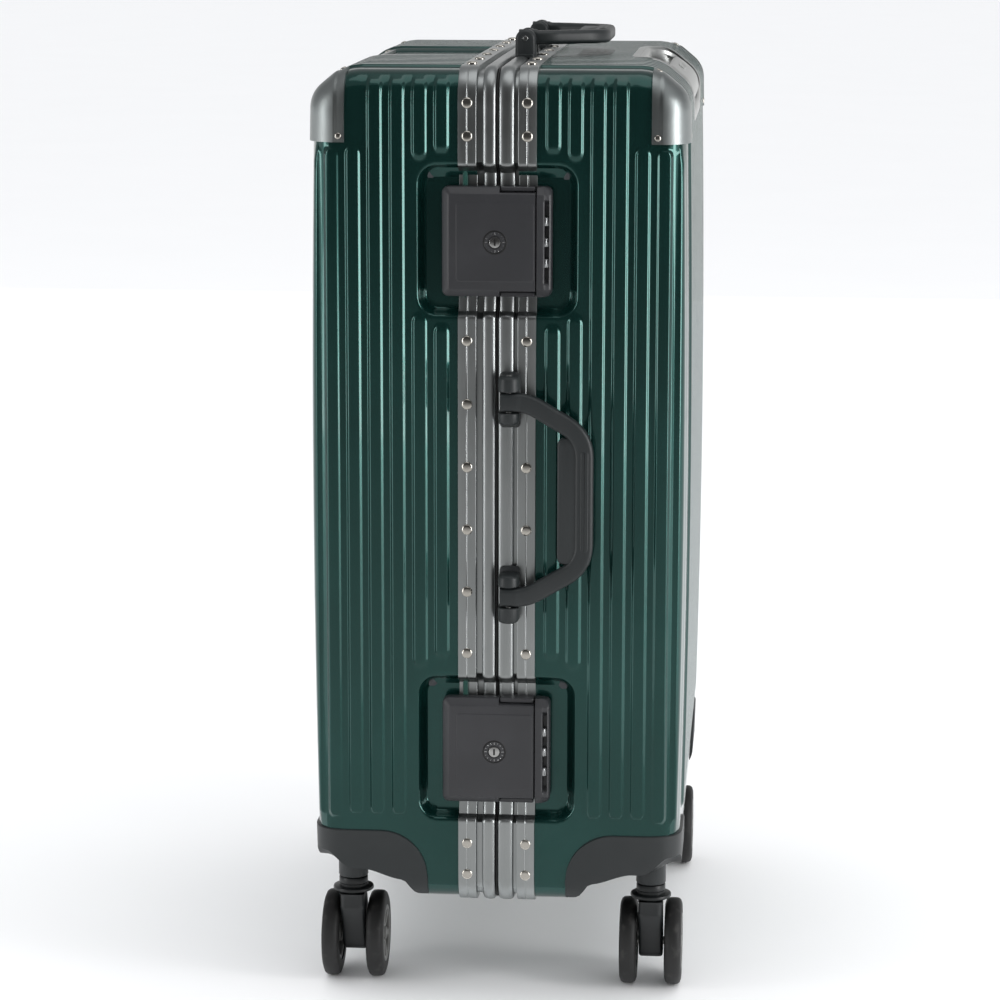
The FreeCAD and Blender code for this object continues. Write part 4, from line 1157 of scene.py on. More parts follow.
def caster_fork(name, edge, half):
    wheel_low, wheel_high = reach(f"{name}_wheel_a")
    axle_x, axle_z = (wheel_low[0] + wheel_high[0]) / 2, (wheel_low[2] + wheel_high[2]) / 2
    pivot_x, pivot_y = edge * CASTER_X, half * CASTER_Y
    form = Form()
    plate_floor = BOSS_FLOOR - 0.3 - 14.7
    form.turn(COLLAR, (pivot_x, pivot_y, plate_floor + 3.2), (0, 0, 1), 44)
    form.turn(STEM, (pivot_x, pivot_y, BOSS_FLOOR - 2), (0, 0, 1), 24)
    rings = []
    for across, inset in WEB_FLANKS:
        outline = capsule((pivot_x - edge * 1.5, plate_floor - 6), (axle_x, axle_z), 11.5 - inset, 12 - inset)
        rings.append([(u, pivot_y + across, v) for u, v in outline])
    form.stack(rings)
    top = [[(pivot_x + u, pivot_y + v, plate_floor + rise)
            for u, v in rounded(25 - 2 * inset, 17 - 2 * inset, 4)]
           for rise, inset in ((-7, 0.0), (1.0, 0.0), (3.0, -0.6))]
    form.stack(top)
    return form.piece(f"{name}_fork_moulding", [FORK_BLACK], crisp=42)


CASTERS = [(f"{side}_{edge_name}_caster", edge, half) for side, half in HALVES.items()
           for edge_name, edge in (("lock", 1), ("hinge", -1))]
for name, edge, half in CASTERS:
    stands_for(caster_fork(name, edge, half), f"{name}_fork")

# %% [markdown]
# The wheels are a rubber tyre on a spoked hub. The tyre is turned from a closed outline with
# round shoulders and a faint tread line. The hub's outer face shows a rim, arched spokes and
# a cap over the axle, and a near-black web behind them closes the wheel as painted shade in the
# hollows between the spokes.

# %% Caster wheels
TYRE = [(21.0, -6.2), (24.0, -6.3), (28.0, -6.2), (30.6, -5.2), (31.7, -3.6), (32.0, -1.6), (32.0, 1.6),
        (31.7, 3.6), (30.6, 5.2), (28.0, 6.2), (24.0, 6.3), (21.0, 6.2)]
RIM = [(17.6, -5.2), (21.2, -5.2), (21.2, 6.0), (20.6, 6.35), (18.6, 6.35), (17.6, 5.6)]
CAP = [(0.0, 6.0), (2.2, 6.3), (4.0, 6.1), (4.6, 5.6), (4.8, 4.6), (6.6, 4.4), (6.9, 3.8), (6.9, -5.6),
       (5.6, -6.2), (3.15, -6.2)]
SPOKES = 6
SPOKE_ARCH = ((6.2, 0.42, 4.6), (9.5, 0.2, 5.2), (13.5, 0.15, 5.5), (16.5, 0.17, 5.7), (18.4, 0.24, 5.7))


def caster_wheel(name, outer_side):
    low, high = reach(name)
    centre = (low + high) / 2
    axis = np.array((0, outer_side, 0))
    form = Form()
    form.turn(TYRE, centre, axis, 72, 0, closed=True)
    form.turn(RIM, centre, axis, 64, 1, closed=True)
    form.turn(CAP, centre, axis, 36, 1)
    # The web is near black: painted shade for the hollows between the spokes.
    form.turn([(3.2, -0.8), (18.5, -0.8), (18.5, 0.8), (3.2, 0.8)], centre, axis, 48, 2, closed=True)
    for k in range(SPOKES):
        angle = 2 * math.pi * (k + 0.25) / SPOKES
        rings = []
        for radius, half_angle, proud in SPOKE_ARCH:
            ring = []
            for turn, along in ((-1, 0.6), (-1, proud - 0.8), (-0.7, proud), (0.7, proud),
                                (1, proud - 0.8), (1, 0.6)):
                a = angle + turn * half_angle
                ring.append((centre[0] + radius * math.cos(a), centre[1] + outer_side * along,
                             centre[2] + radius * math.sin(a)))
            rings.append(ring)
        form.stack(rings, 1)
    return form.piece(f"{name}_turned", [TYRE_BLACK, HUB_GREY, BLACK_AND_PAINTED_SHADE], crisp=36)


for name, edge, half in CASTERS:
    for letter, outer_side in (("a", -1), ("b", 1)):
        stands_for(caster_wheel(f"{name}_wheel_{letter}", outer_side), f"{name}_wheel_{letter}")

# %% [markdown]
# The two carry handles are the same nylon moulding. A section with round corners follows a
# bent line from one pivot to the other, and a flat pad fills its inner edge for the fingers.
# Written along, out and up from the pivots, one recipe serves the side and the top.

# %% Carry handles
def bent_path(corners, radius, steps=9):
    """A path with its corners rounded, as points in a plane."""
    points = [np.array(corners[0], float)]
    for before, corner, after in zip(corners, corners[1:], corners[2:]):
        before, corner, after = (np.array(item, float) for item in (before, corner, after))
        first, second = (before - corner), (after - corner)
        reach_in = min(radius, np.linalg.norm(first) * 0.45, np.linalg.norm(second) * 0.45)
        start = corner + first / np.linalg.norm(first) * reach_in
        stop = corner + second / np.linalg.norm(second) * reach_in
        for k in range(steps + 1):
            t = k / steps
            points.append(start * (1 - t) ** 2 + corner * 2 * t * (1 - t) + stop * t ** 2)
    points.append(np.array(corners[-1], float))
    return np.array(points)


def carry_handle(name, place):
    """place(along, out, up) gives a point of the case from the pivots' middle."""
    form = Form()
    lug, thick = 69.5, 10.0
    path = bent_path([(lug, -5.8), (lug, 13), (46, 53), (-46, 53), (-lug, 13), (-lug, -5.8)], 15)
    along = np.gradient(path, axis=0)
    along /= np.linalg.norm(along, axis=1, keepdims=True)
    rings = []
    for k, (spot, way) in enumerate(zip(path, along)):
        side = np.array((-way[1], way[0]))
        from_end = min(k, len(path) - 1 - k)
        wide = 13.4 if spot[1] > 8 else 13.0
        section = rounded(wide, thick + (1.6 if spot[1] < 8 else 0), 3.2 if from_end else 3.0, 4)
        rings.append([place(*(spot + side * u), v) for u, v in section])
    form.stack(rings)
    pad = []
    for up, inset in ((-3.9, 1.2), (-3.2, 0.3), (-2.4, 0.0), (2.4, 0.0), (3.2, 0.3), (3.9, 1.2)):
        pad.append([place(u, v + 41.8, up) for u, v in rounded(90 - 2 * inset, 15 - 2 * inset, 5)])
    form.stack(pad)
    for turn in (-1, 1):
        ridge = []
        for rise, inset in ((4.6, -0.2), (5.25, 0.3), (5.4, 0.9)):
            ridge.append([place(u, v + 53.5, turn * rise)
                          for u, v in rounded(72 - 2 * inset, 5.6 - 2 * inset, 2)])
        form.stack(ridge)
    return form.piece(name, [CHARCOAL], crisp=40)


def middle_of(node):
    low, high = reach(node)
    return (low + high) / 2


PIVOT_LINE = reach("side_handle")[0][1] + 6.0
side_middle, top_middle = middle_of("side_handle"), middle_of("top_handle")


def at_side(along, out, up):
    return (side_middle[0] + up, PIVOT_LINE + out, side_middle[2] + along)


def at_top(along, out, up):
    return (top_middle[0] + along, PIVOT_LINE + out, top_middle[2] + up)


stands_for(carry_handle("side_carry_handle", at_side), "side_handle")
stands_for(carry_handle("top_carry_handle", at_top), "top_handle")

# %% [markdown]
# Each handle end turns between two ears. An ear is a round-topped block that grows from the
# frame, with a chamfer at its free end and the ring of the pivot pin showing there.

# %% Handle brackets
def ear(form, place, start, end, base):
    """A round-topped block from one place along to another."""
    way = 1 if end > start else -1
    rings = []
    for past, inset in ((0.0, 0.5), (0.5, 0.0), (abs(end - start) - 2.6, 0.0), (abs(end - start) - 0.9, 0.8),
                        (abs(end - start), 2.2)):
        radius = 7.5 - inset
        outline = [(radius * math.cos(math.pi * k / 16), radius * math.sin(math.pi * k / 16) - 0.9)
                   for k in range(17)]
        outline += [(-radius - 0.1, base), (radius + 0.1, base)]
        rings.append([place(start + way * past, u, v) for u, v in outline])
    form.stack(rings)


brackets = Form()
for place, base in ((at_side, 220.4 - side_middle[0]), (at_top, SHELL_TOP + 0.4 - top_middle[2])):
    for end in (-1, 1):
        centre = end * 69.5
        ear(brackets, place, centre + end * 7.4, centre + end * 18.6, base)
        ear(brackets, place, centre - end * 7.4, centre - end * 16.0, base)
        foot = [[place(centre + u, v, base + rise) for u, v in rounded(39.5 - 2 * inset, 14.6 - 2 * inset, 3)]
                for rise, inset in ((0, 0), (2.2, 0), (2.7, 0.5))]
        brackets.stack(foot)
        face = centre + end * 18.4
        way = np.array(place(1, 0, 0)) - np.array(place(0, 0, 0))
        brackets.turn([(0, -0.6), (1.9, -0.6), (1.9, 0.5), (1.6, 0.75), (0, 0.8)],
                      place(face, 0, 0), way * end, 20, 1)
stands_for(brackets.piece("handle_ears", [CHARCOAL, STEEL], crisp=42), "handle_brackets")
for node in ("pivot_pins", "lock_keepers", "upper_latch_bolt", "lower_latch_bolt"):
    frame["nodes"][node].data.materials.clear()
    frame["nodes"][node].data.materials.append(STEEL)

# %% [markdown]
# A lock is a flap over a tray. The flap is a square plate with bevelled borders and a fine
# outline round its middle, notched where the tray's ears hold it. Plates like this are a
# stack of outlines that step in and up, so the outline is one function of how far it steps.

# %% Lock flaps
LOCK_HALF, FLAP_TOP, FLAP_EDGE = 38.5, 227.0, 27.1
NOTCH_START, NOTCH_HALF = 2.0, 34.6
KEY_Y = -1.0


def flap_outline(inset, height, corner=4.6, edge=FLAP_EDGE):
    """The flap seen from outside, with a notch in its top and bottom border."""
    left, half = -LOCK_HALF + inset, LOCK_HALF - inset
    notch = min(NOTCH_HALF, half)
    radius = max(corner - inset * 0.5, 1.0)
    points = [(edge, -notch), (NOTCH_START + 0.6, -notch), (NOTCH_START, -notch - min(0.6, half - notch)),
              (NOTCH_START, -half)]
    for k in range(9):
        angle = math.pi * 1.5 - math.pi / 2 * k / 8
        points.append((left + radius + radius * math.cos(angle), -half + radius + radius * math.sin(angle)))
    upper = [(u, -v) for u, v in points[::-1]]
    return [(u, height + v) for u, v in points + upper]


def flap_ring(x, inset, height):
    return [(x, y, z) for y, z in flap_outline(inset, height)]


def panel(height, half_z, left, right, x, corner=2.6):
    width, tall = right - left, 2 * half_z
    return [(x, (left + right) / 2 + u, height + v) for u, v in rounded(width, tall, corner, 5)]


def lock_flap(name, height):
    form = Form()
    levels = [(214.0, 0.3), (214.6, 0.0), (221.8, 0.0), (222.6, 0.25), (223.2, 0.7), (226.2, 4.3),
              (226.8, 5.0), (FLAP_TOP, 5.9)]
    form.stack([flap_ring(x, inset, height) for x, inset in levels])
    left, right, half_z = -28.4, 26.4, 27.9
    sunk = [(FLAP_TOP - 0.05, 0.0), (FLAP_TOP + 0.05, 0.2), (FLAP_TOP + 0.33, 0.7), (FLAP_TOP + 0.35, 1.1)]
    rings = [panel(height, half_z - inset, left + inset, right - inset, x) for x, inset in sunk]
    form.stack(rings)
    return form.piece(f"{name}_lock_flap", [LOCK_CHARCOAL], crisp=28)


for name, height in LOCKS.items():
    stands_for(lock_flap(name, height), f"{name}_lock_lever")

# %% [markdown]
# The key turns a round plug in the flap. Its face has a raised ring with plain tick marks,
# like a clock without numbers, and a bright middle with the slot for the key, which is a thin
# black sheet of painted shade for the keyhole.

# %% Key plugs
def lock_key(name, height):
    form = Form()
    base = FLAP_TOP - 5
    form.turn([(0, 0), (8.45, 0), (8.45, 5.35), (8.2, 5.55), (7.6, 5.6), (7.3, 5.3), (4.7, 5.3), (4.5, 5.5),
               (4.2, 5.5), (4.1, 5.2), (0, 5.2)], (base, KEY_Y, height), (1, 0, 0), 48, 0)
    form.turn([(0, 5.0), (3.75, 5.0), (3.75, 5.75), (3.4, 5.95), (0, 6.0)],
              (base, KEY_Y, height), (1, 0, 0), 32, 1)
    # The keyhole is a black sheet just above the bright middle: painted shade for the hole.
    form.stack([[(base + rise, KEY_Y + u, height + v) for u, v in rounded(1.3 - inset, 4.6 - inset, 0.5, 3)]
                for rise, inset in ((5.9, 0.0), (6.06, 0.0))], 2)
    for k in range(16):
        angle = 2 * math.pi * k / 16
        out = np.array((math.cos(angle), math.sin(angle)))
        side = np.array((-math.sin(angle), math.cos(angle)))
        long = 1.7 if k % 4 == 0 else 0.9
        rings = []
        for rise, thin in ((5.2, 0.2), (5.42, 0.2), (5.5, 0.12)):
            corners = [out * (6.9 - long) - side * thin, out * 6.9 - side * thin, out * 6.9 + side * thin,
                       out * (6.9 - long) + side * thin]
            rings.append([(base + rise, KEY_Y + u, height + v) for u, v in corners])
        form.stack(rings, 1)
    return form.piece(f"{name}_key_plug", [BLACK_AND_PAINTED_SHADE, BRIGHT, BLACK_AND_PAINTED_SHADE], crisp=35)


for name, height in LOCKS.items():
    stands_for(lock_key(name, height), f"{name}_key_cylinder")

# %% [markdown]
# Three number wheels peep out of a long slot in the edge strip of the tray. The strip's
# section is the same all the way up except that the slot fades out at its ends and the
# corners are round, so it is a stack of sections along the height.

# %% Lock trays
STRIP_START = 28.0


def strip_section(height, at):
    """The edge strip's outline in depth and x at one height."""
    past = max(abs(at) - (LOCK_HALF - 4.6), 0)
    pull = 4.6 - math.sqrt(max(4.6 ** 2 - past ** 2, 0.01))
    border = min(max((abs(at) - 32.9) / 4.8, 0), 1) * 4.2
    slot = float(smooth_step(np.array((30.5 - abs(at)) / 5.0)))
    top = FLAP_TOP - border
    points = [(STRIP_START, 213.0), (STRIP_START, top - 0.4), (STRIP_START + 0.4, top), (32.6, top),
              (33.4, top - 0.3 - 0.5 * slot), (33.9, top - 0.7 - 5.2 * slot), (36.3, top - 1.2 - 4.7 * slot),
              (36.7, top - 1.4 - 0.1 * slot), (37.6, top - 2.0), (38.2, top - 2.9), (LOCK_HALF, top - 4.2),
              (LOCK_HALF, 213.0)]
    scale = (LOCK_HALF - pull - STRIP_START) / (LOCK_HALF - STRIP_START)
    return [(x, STRIP_START + (y - STRIP_START) * scale, height + at) for y, x in points]


def lock_tray(form, height):
    stations = lines((-LOCK_HALF, -24, 0.7), (-24, 24, 6.0), (24, LOCK_HALF, 0.7))
    form.stack([strip_section(height, at) for at in stations])
    form.stack([[(x, 19.6 + u, height + v) for u, v in rounded(36.4 - 2 * inset, 73 - 2 * inset, 4)]
                for x, inset in ((209.2, 0.0), (213.4, 0.0), (213.8, 0.5))])
    for turn in (-1, 1):
        ear_rings = []
        for x, inset in ((210.0, 0.0), (221.6, 0.0), (222.4, 0.7)):
            ear_rings.append([(x, 14.6 + u, height + turn * 36.7 + v)
                              for u, v in rounded(24.4 - 2 * inset, 3.4 - 2 * inset, 0.9, 3)])
        form.stack(ear_rings)


trays = Form()
for height in LOCKS.values():
    lock_tray(trays, height)
stands_for(trays.piece("lock_trays", [LOCK_CHARCOAL], crisp=30), "lock_bases")

# %% [markdown]
# A number wheel has one flat and one digit for each of its places. Seen edge on at this
# size, what shows is a grey metal drum, so the drum's outline has ten shallow flutes.

# %% Number wheels
def number_wheel(name):
    low, high = reach(name)
    centre, wide = (low + high) / 2, high[2] - low[2]
    form = Form()
    rings = []
    for rise, inset in ((-wide / 2, 0.5), (-wide / 2 + 0.5, 0.0), (wide / 2 - 0.5, 0.0), (wide / 2, 0.5)):
        ring = []
        for k in range(60):
            angle = 2 * math.pi * k / 60
            radius = 4.0 - inset - 0.45 * max(math.cos(10 * angle), 0) ** 2
            ring.append((centre[0] + radius * math.cos(angle), centre[1] + radius * math.sin(angle),
                         centre[2] + rise))
        rings.append(ring)
    form.stack(rings)
    return form.piece(f"{name}_drum", [TUBE_GREY], crisp=50)


for name in LOCKS:
    for k in (1, 2, 3):
        stands_for(number_wheel(f"{name}_dial_{k}"), f"{name}_dial_{k}")

# %% [markdown]
# The trolley's cup is pressed into the top of the back half and runs down over the bevel.
# It helps to unroll that part of the case: across is x, and along is the way over the top,
# the bevel and down the face. Outlines drawn on the unrolled sheet are laid on the case and
# lifted or sunk, which makes the cup's rim, its well, the handle's grip and its button.

# %% The trolley's cup, grip and button
UNROLL_START = 85.0
TOP_RUN = HALF_DEPTH - UNROLL_START


def unrolled(across, along):
    """A box point for a place on the unrolled back of the case."""
    if along <= TOP_RUN:
        return (across, UNROLL_START + along, SHELL_TOP)
    return (across, HALF_DEPTH, SHELL_TOP - (along - TOP_RUN))


def laid_stack(form, width, height, corner, middle, levels, finish=0, caps=(True, True)):
    """Stacks laid outlines by (inset, lift); all share the widest one's point count."""
    outline = rounded(width, height, corner, 10)
    fine = []
    for a, b in zip(outline, outline[1:] + outline[:1]):
        pieces = max(1, int(math.hypot(b[0] - a[0], b[1] - a[1]) / 4))
        fine += [(a[0] + (b[0] - a[0]) * k / pieces, a[1] + (b[1] - a[1]) * k / pieces)
                 for k in range(pieces)]
    rings = []
    for inset, lift in levels:
        scale_u, scale_v = (width - 2 * inset) / width, (height - 2 * inset) / height
        on_case = onto_case([unrolled(u * scale_u, middle + v * scale_v) for u, v in fine])
        rings.append(on_case + outward(on_case) * lift)
    form.stack(rings, finish, caps)


CUP_MIDDLE, CUP_WIDTH, CUP_RUN = 49.0, 184.0, 96.0
cup = Form()
laid_stack(cup, CUP_WIDTH, CUP_RUN, 26, CUP_MIDDLE,
           [(0.0, -1.6), (0.0, 0.2), (0.6, 0.9), (2.0, 1.25), (5.5, 1.1), (8.0, 0.4), (9.4, -0.8),
            (10.0, -3.0), (12.0, -18.0), (16.0, -24.0), (26.0, -26.0), (40.0, -26.5)], caps=(False, True))
stands_for(cup.piece("trolley_well", [SILVER], crisp=35), "trolley_cup")

grip = Form()
GRIP_WIDTH, GRIP_RUN, GRIP_MIDDLE = 154.0, 52.0, 57.0
laid_stack(grip, GRIP_WIDTH, GRIP_RUN, 15, GRIP_MIDDLE,
           [(4.0, -17.0), (0.8, -15.0), (0.0, -6.0), (0.2, -2.0), (1.2, -0.4), (3.2, 0.5), (7.0, 0.9),
            (13.0, 1.0), (20.0, 1.0), (25.0, 1.0)])
stands_for(grip.piece("trolley_grip_bar", [SILVER, BLACK_AND_PAINTED_SHADE], crisp=35), "trolley_grip")

button = Form()
laid_stack(button, 34, 14, 3, TOP_RUN - 3.0,
           [(0.0, -1.0), (0.0, 1.25), (0.3, 1.6), (1.0, 1.8), (2.0, 1.5), (4.5, 1.35), (6.3, 1.35)])
stands_for(button.piece("trolley_release", [SILVER], crisp=30), "trolley_button")
for node in ("trolley_outer_tubes", "trolley_middle_tubes", "trolley_inner_tubes"):
    frame["nodes"][node].data.materials.clear()
    frame["nodes"][node].data.materials.append(TUBE_GREY)

# %% [markdown]
# The two halves turn on pressed steel hinges on the far side. A leaf is a thin plate with
# round corners and countersunk rivets, rolled into knuckles round the pin; the front leaf
# has the middle knuckle and the back leaf the outer two.

# %% Hinges
HINGE_X, KNUCKLE = reach("front_hinge_leaves")[0][0] + 4.5, 4.4


def knuckle(form, height, low, high):
    form.turn([(2.1, low), (KNUCKLE - 0.5, low), (KNUCKLE, low + 0.5), (KNUCKLE, high - 0.5),
               (KNUCKLE - 0.5, high), (2.1, high)], (HINGE_X, 0, height), (0, 0, 1), 28)


def leaf(form, half, height):
    """A thin plate from the knuckle over the frame, drawn as a stack of outlines."""
    near, far = 2.4, 26.6
    plate = [[(-x_out, half * (near + far) / 2 + u, height + v)
              for u, v in rounded(far - near - 2 * cut, 44 - 2 * cut, 3.5 - cut)]
             for x_out, cut in ((221.0, 0.0), (222.5, 0.0), (223.0, 0.5))]
    form.stack(plate)
    for v in (-14, 14):
        form.turn([(3.0, -0.5), (3.0, 0.3), (2.4, 0.9), (1.2, 1.2), (0, 1.25)],
                  (-223.0, half * 20.0, height + v), (-1, 0, 0), 24, 1)


def strap(form, half, height, low, high):
    """The plate's rolled part, from the plate to its knuckle."""
    section = [(-222.4, 3.0), (-230.5, 3.0), (-233.5, 4.4), (-235.0, 4.0), (-235.0, 2.6), (-231.5, 1.2),
               (-222.4, 1.2)]
    form.stack([[(x, half * y, height + z) for x, y in section] for z in (low, low + 0.4, high - 0.4, high)])


hinge_heights = sorted({round(float((low[2] + high[2]) / 2), 2)
                        for low, high in islands("front_hinge_leaves")})
for name, half in HALVES.items():
    leaves = Form()
    for height in hinge_heights:
        leaf(leaves, half, height)
        spans = ((-7.6, 7.6),) if half == FRONT else ((-22, -8.0), (8.0, 22))
        for low, high in spans:
            knuckle(leaves, height, low, high)
            strap(leaves, half, height, low, high)
    stands_for(leaves.piece(f"{name}_hinge_plates", [STEEL, NICKEL], crisp=35), f"{name}_hinge_leaves")
print("hinges at", hinge_heights)

# %% [markdown]
# Four feet on the hinge side let the case lie down without scratching. Each is a moulded
# plug with a grooved edge, a shallow dish on its face and a screw in the dish.

# %% Side feet
FOOT = [(10.0, -1.5), (11.0, 0.0), (11.0, 3.5), (10.4, 4.0), (10.4, 5.2), (11.0, 5.7), (11.0, 9.6),
        (10.2, 11.2), (8.6, 11.9), (6.6, 12.0), (5.2, 11.2), (4.0, 10.6), (0, 10.4)]
for name in HALVES:
    feet = Form()
    for low, high in islands(f"{name}_feet"):
        base = np.array((high[0], (low[1] + high[1]) / 2, (low[2] + high[2]) / 2))
        feet.turn(FOOT, base, (-1, 0, 0), 40)
        feet.turn([(0, 10.2), (2.6, 10.2), (2.6, 11.0), (2.0, 11.6), (0, 11.8)], base, (-1, 0, 0), 20, 1)
    stands_for(feet.piece(f"{name}_side_feet", [CHARCOAL, STEEL], crisp=40), f"{name}_feet")

# %% [markdown]
# Inside, both halves are lined. The lining cloth is a plain weave, made here from two sets
# of fine waves at right angles, with a soft unevenness where it is glued down.

# %% Lining cloth and webbing
def make_cloth(name, dark, light, threads, depth, roughness=0.85):
    cloth = Finish(name, Sheen_Weight=0.25, Sheen_Roughness=0.5)
    warp = cloth.node("ShaderNodeTexWave", {"bands_direction": "DIAGONAL"},
                      {"Vector": cloth.place((1, 1, 1)), "Scale": threads, "Distortion": 0.6, "Detail": 1.0})
    weft = cloth.node("ShaderNodeTexWave", {"bands_direction": "DIAGONAL"},
                      {"Vector": cloth.place((1, 1, -1)), "Scale": threads, "Distortion": 0.6, "Detail": 1.0})
    cloud = cloth.noise(18, 4).between(0.3, 0.75)
    weave = warp * 0.5 + weft * 0.5
    cloth.feed("Base Color", cloth.blend(weave * 0.6 + cloud * 0.4, dark, light))
    cloth.feed("Roughness", roughness + 0.1 * cloud)
    cloth.relief(weave + 0.6 * cloud, depth, 0.7)
    return cloth.material


LINING = make_cloth("lining_cloth", colour(0.028, 0.03, 0.033), colour(0.06, 0.064, 0.07), 260, 0.0003)
WEBBING = make_cloth("webbing", colour(0.012, 0.013, 0.014), colour(0.035, 0.037, 0.04), 420, 0.0004)
PIPING = make_cloth("piping_green", colour(0.006, 0.05, 0.04), colour(0.012, 0.085, 0.065), 420, 0.0003)

# %% [markdown]
# The lining is glued to the walls and its floor is padded, so the floor is quilted: it
# swells between stitched diagonals and is pulled flat along them. In the back half the
# floor stands off the shell, because the trolley's tubes run behind it. The casters reach
# up into the lower corners, so the lining lies over their arches there.

# %% Linings
QUILT, QUILT_RISE, OVER_ARCH = 62.0, 2.4, 5.0


def quilted(u, v):
    """How far the padding swells at a place on the floor."""
    first = math.sin(math.pi * (u + v) / QUILT)
    second = math.sin(math.pi * (u - v) / QUILT)
    return QUILT_RISE * (abs(first) * abs(second)) ** 0.45


def lining_floor(form, half, depth, reach_x, low, high, into):
    across, up = lines((-reach_x, reach_x, 5.0)), lines((low, high, 5.0))
    points, corner = [], 24.0
    for x in across:
        for z in up:
            over_x = max(abs(x) - reach_x + corner, 0)
            over_z = max(abs(z - MIDDLE) - (high - low) / 2 + corner, 0)
            far = max(over_x, over_z)
            scale = far / math.hypot(over_x, over_z) if far > 0 else 1
            place_x = math.copysign(min(abs(x), reach_x - corner) + over_x * scale, x)
            place_z = MIDDLE + math.copysign(min(abs(z - MIDDLE), (high - low) / 2 - corner) + over_z * scale,
                                             z - MIDDLE)
            rim = min(reach_x - abs(x), (high - low) / 2 - abs(z - MIDDLE))
            swell = quilted(x, z) * min(rim / 14, 1)
            place_z = max(place_z, float(underside(abs(place_x), depth)) + OVER_ARCH)
            points.append((place_x, half * (depth - swell * into), place_z))
    wide = len(up)
    faces = [[i * wide + j, i * wide + j + 1, (i + 1) * wide + j + 1, (i + 1) * wide + j]
             for i in range(len(across) - 1) for j in range(wide - 1)]
    form.add(points, faces)


def lining_walls(form, half, near, far, inset, floor_too):
    walls = Skin()
    depth = lines((near, far, 7.0))
    rows = heights([(SHELL_FLOOR, SHELL_FLOOR + 28), (SHELL_TOP - 28, SHELL_TOP)], 14.0, 3.5,
                   SHELL_FLOOR, SHELL_TOP)
    widths = lines((-HALF_WIDTH, -190, 4.0), (-190, 190, 14.0), (190, HALF_WIDTH, 4.0))
    for edge in (-1, 1):
        walls.grid(0, edge * HALF_WIDTH, depth, rows)
    for level in (SHELL_FLOOR, SHELL_TOP):
        walls.grid(2, level, widths, depth)
    if floor_too:
        across = lines((-HALF_WIDTH, -190, 4.0), (-190, 190, 6.0), (190, HALF_WIDTH, 4.0))
        up = heights([], 6.0, 6.0, SHELL_FLOOR, SHELL_TOP)
        walls.grid(1, HALF_DEPTH, across, up)
    faces = walls.faces()
    on_case = onto_case(walls.points)
    way = outward(on_case)
    deep = hollow(on_case) * (way[:, 0] > 0.5)
    rim = np.minimum(HALF_WIDTH - np.abs(on_case[:, 0]), HALF_HEIGHT - np.abs(on_case[:, 2] - MIDDLE)) - 26
    swell = np.array([quilted(x, z) for x, z in on_case[:, [0, 2]]])
    swell = swell * np.clip(rim / 14, 0, 1) * (way[:, 1] > 0.8)
    points = on_case - way * (inset + HOLLOW_DEPTH * deep + swell)[:, None]
    points[:, 2] = np.maximum(points[:, 2], underside(np.abs(points[:, 0]), points[:, 1]) + OVER_ARCH)
    form.add(points * (1, half, 1), faces)


for name, half in HALVES.items():
    low, high = reach(f"{name}_lining")
    near, far = sorted(abs(value) for value in (low[1], high[1]))
    lining = Form()
    goes_to_face = half == FRONT
    lining_walls(lining, half, near, HALF_DEPTH if goes_to_face else far, 4.6, goes_to_face)
    if not goes_to_face:
        lining_floor(lining, half, far - 1.0, high[0] - 1.5, low[2] + 1.5, high[2] - 1.5, 1)
    stands_for(lining.piece(f"{name}_lining_cloth", [LINING], crisp=55), f"{name}_lining")

# %% [markdown]
# A padded divider zips across the front half. It is a flat cushion of cloth with a piped
# edge, a zip near the edge whose teeth are small blocks set along the seam, and a puller.

# %% Divider with its zip
div_low, div_high = reach("front_divider")
DIV_Y = (div_low[1] + div_high[1]) / 2
DIV_WIDE, DIV_TALL = 2 * div_high[0] - 6, div_high[2] - div_low[2] - 6


def flat_ring(width, height, corner, depth):
    return [(u, depth, MIDDLE + v) for u, v in rounded(width, height, corner, 10)]


def along_outline(width, height, corner, pitch):
    """Evenly spaced places on a rounded rectangle, with the way along at each."""
    outline = [np.array(point) for point in rounded(width, height, corner, 10)]
    found, left = [], 0.0
    for a, b in zip(outline, outline[1:] + outline[:1]):
        long = np.linalg.norm(b - a)
        while long > 1e-6 and left < long:
            found.append((a + (b - a) * left / long, (b - a) / long))
            left += pitch
        left -= long
    return found


def tube_ring(form, width, height, corner, depth, radius, finish):
    outline = [np.array(point) for point in rounded(width, height, corner, 10)]
    rings = []
    for before, here, after in zip(outline[-1:] + outline[:-1], outline, outline[1:] + outline[:1]):
        way = (after - before) / np.linalg.norm(after - before)
        side = np.array((way[1], -way[0]))
        rings.append([(here[0] + side[0] * radius * math.cos(a), depth + radius * math.sin(a),
                       MIDDLE + here[1] + side[1] * radius * math.cos(a))
                      for a in (2 * math.pi * k / 8 for k in range(8))])
    form.stack(rings, finish, closed=True)


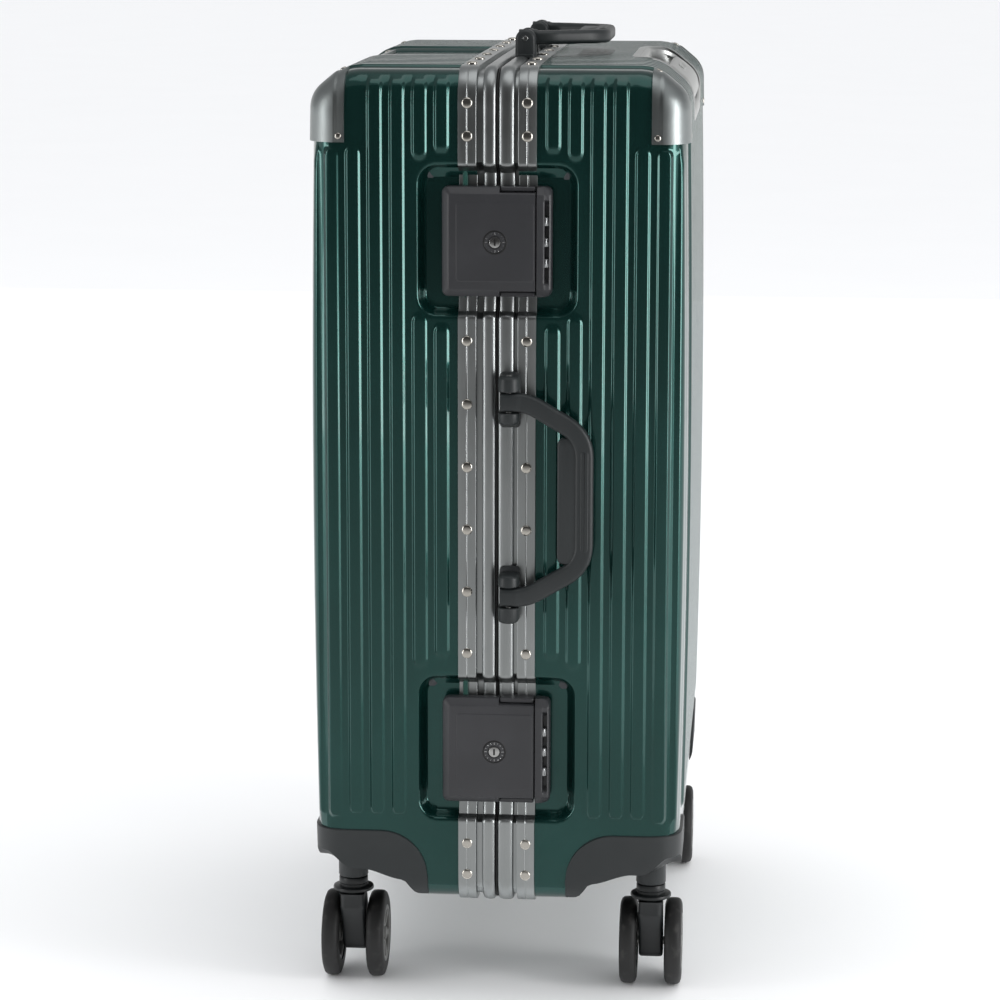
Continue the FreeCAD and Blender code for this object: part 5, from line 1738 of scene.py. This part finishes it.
divider = Form()
divider_rings = []
for rise, inset in ((-1.2, 14), (-1.4, 6), (-0.8, 1.0), (0.0, 0.0), (0.8, 1.0), (1.4, 6), (1.2, 14),
                    (1.5, 30), (1.6, 80)):
    divider_rings.append(flat_ring(DIV_WIDE - 2 * inset, DIV_TALL - 2 * inset,
                                   max(30 - inset * 0.8, 4), DIV_Y + rise))
divider.stack(divider_rings)
tube_ring(divider, DIV_WIDE, DIV_TALL, 30, DIV_Y, 1.9, 1)
tube_ring(divider, DIV_WIDE - 26, DIV_TALL - 26, 22, DIV_Y + 1.5, 1.0, 2)
for spot, way in along_outline(DIV_WIDE - 26, DIV_TALL - 26, 22, 3.2):
    side = np.array((way[1], -way[0]))
    tooth = []
    for rise, shrink in ((1.6, 1.0), (2.7, 1.0), (2.9, 0.7)):
        corners = [spot + way * (0.8 * a * shrink) + side * (1.9 * b * shrink)
                   for a, b in ((-1, -1), (1, -1), (1, 1), (-1, 1))]
        tooth.append([(u, DIV_Y + rise, MIDDLE + v) for u, v in corners])
    divider.stack(tooth, 3)
slider = [[(150 + u, DIV_Y + depth, MIDDLE + DIV_TALL / 2 - 13 + v)
           for u, v in rounded(11 - cut, 7 - cut, 2.2, 5)]
          for depth, cut in ((1.6, 0.0), (3.6, 0.0), (4.2, 1.0))]
divider.stack(slider, 3)
puller = [[(164 + u, DIV_Y + depth, MIDDLE + DIV_TALL / 2 - 13 + v)
           for u, v in rounded(22 - cut, 5 - cut, 1.9, 5)]
          for depth, cut in ((2.6, 0.4), (3.0, 0.0), (4.0, 0.0), (4.4, 0.4))]
divider.stack(puller, 3)
stands_for(divider.piece("divider_panel", [LINING, PIPING, WEBBING, BRIGHT], crisp=40), "front_divider")

# %% [markdown]
# Two webbing straps cross the back half's floor and meet in a side-release buckle, to hold
# the clothes down. A strap is a thin band with a stitched edge that follows a shallow
# curve from the lining's wall to the buckle.

# %% Straps and buckle
STRAP_DEPTH, STRAP_WIDE = 70.0, 25.0
STRAP_EDGE = ((-1, -0.5), (-0.9, -0.8), (-0.84, -0.55), (0.84, -0.55), (0.9, -0.8), (1, -0.5), (1, 0.5),
              (-1, 0.5))
BUCKLE_BODY = ((-5.0, 3.0), (-4.4, 1.0), (-3.0, 0.0), (3.0, 0.0), (4.4, 1.0), (5.0, 3.0))
BUCKLE_PAD = ((-4.8, 0.0), (-5.6, 0.6), (-5.2, 2.0), (-5.1, 4.0))
straps = Form()
ANCHORS = [(-196, MIDDLE + 150), (196, MIDDLE + 150), (-196, MIDDLE - 150), (196, MIDDLE - 150)]
for x, z in ANCHORS:
    start, stop = np.array((x, z), float), np.array((math.copysign(24, x), MIDDLE + (z - MIDDLE) * 0.03))
    way = (stop - start) / np.linalg.norm(stop - start)
    side = np.array((-way[1], way[0]))
    rings = []
    for k in range(25):
        t = k / 24
        spot = start + (stop - start) * t
        depth = STRAP_DEPTH + 9.0 * (1 - math.sin(math.pi * t / 2)) + 0.8 * math.sin(5 * math.pi * t)
        section = []
        for u, w in STRAP_EDGE:
            place = spot + side * u * STRAP_WIDE / 2
            section.append((place[0], depth + w, place[1]))
        rings.append(section)
    straps.stack(rings)
for wide, tall, corner, levels in ((62, 36, 7, BUCKLE_BODY), (26, 20, 4, BUCKLE_PAD)):
    straps.stack([[(u, STRAP_DEPTH + depth, MIDDLE + v)
                   for u, v in rounded(wide - 2 * cut, tall - 2 * cut, corner)] for depth, cut in levels], 1)
straps_made = straps.piece("back_cross_straps", [WEBBING, CHARCOAL], crisp=35)
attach(straps_made, "back_case")
for name, edge, half in CASTERS:
    axle_node = frame["nodes"][f"{name}_axle"]
    axle_node.data.materials.clear()
    axle_node.data.materials.append(STEEL)

# %% [markdown]
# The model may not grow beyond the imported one, so both boxes are written side by side.

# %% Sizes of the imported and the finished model
[[list(corner) for corner in box] for box in (cad_box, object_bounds())]
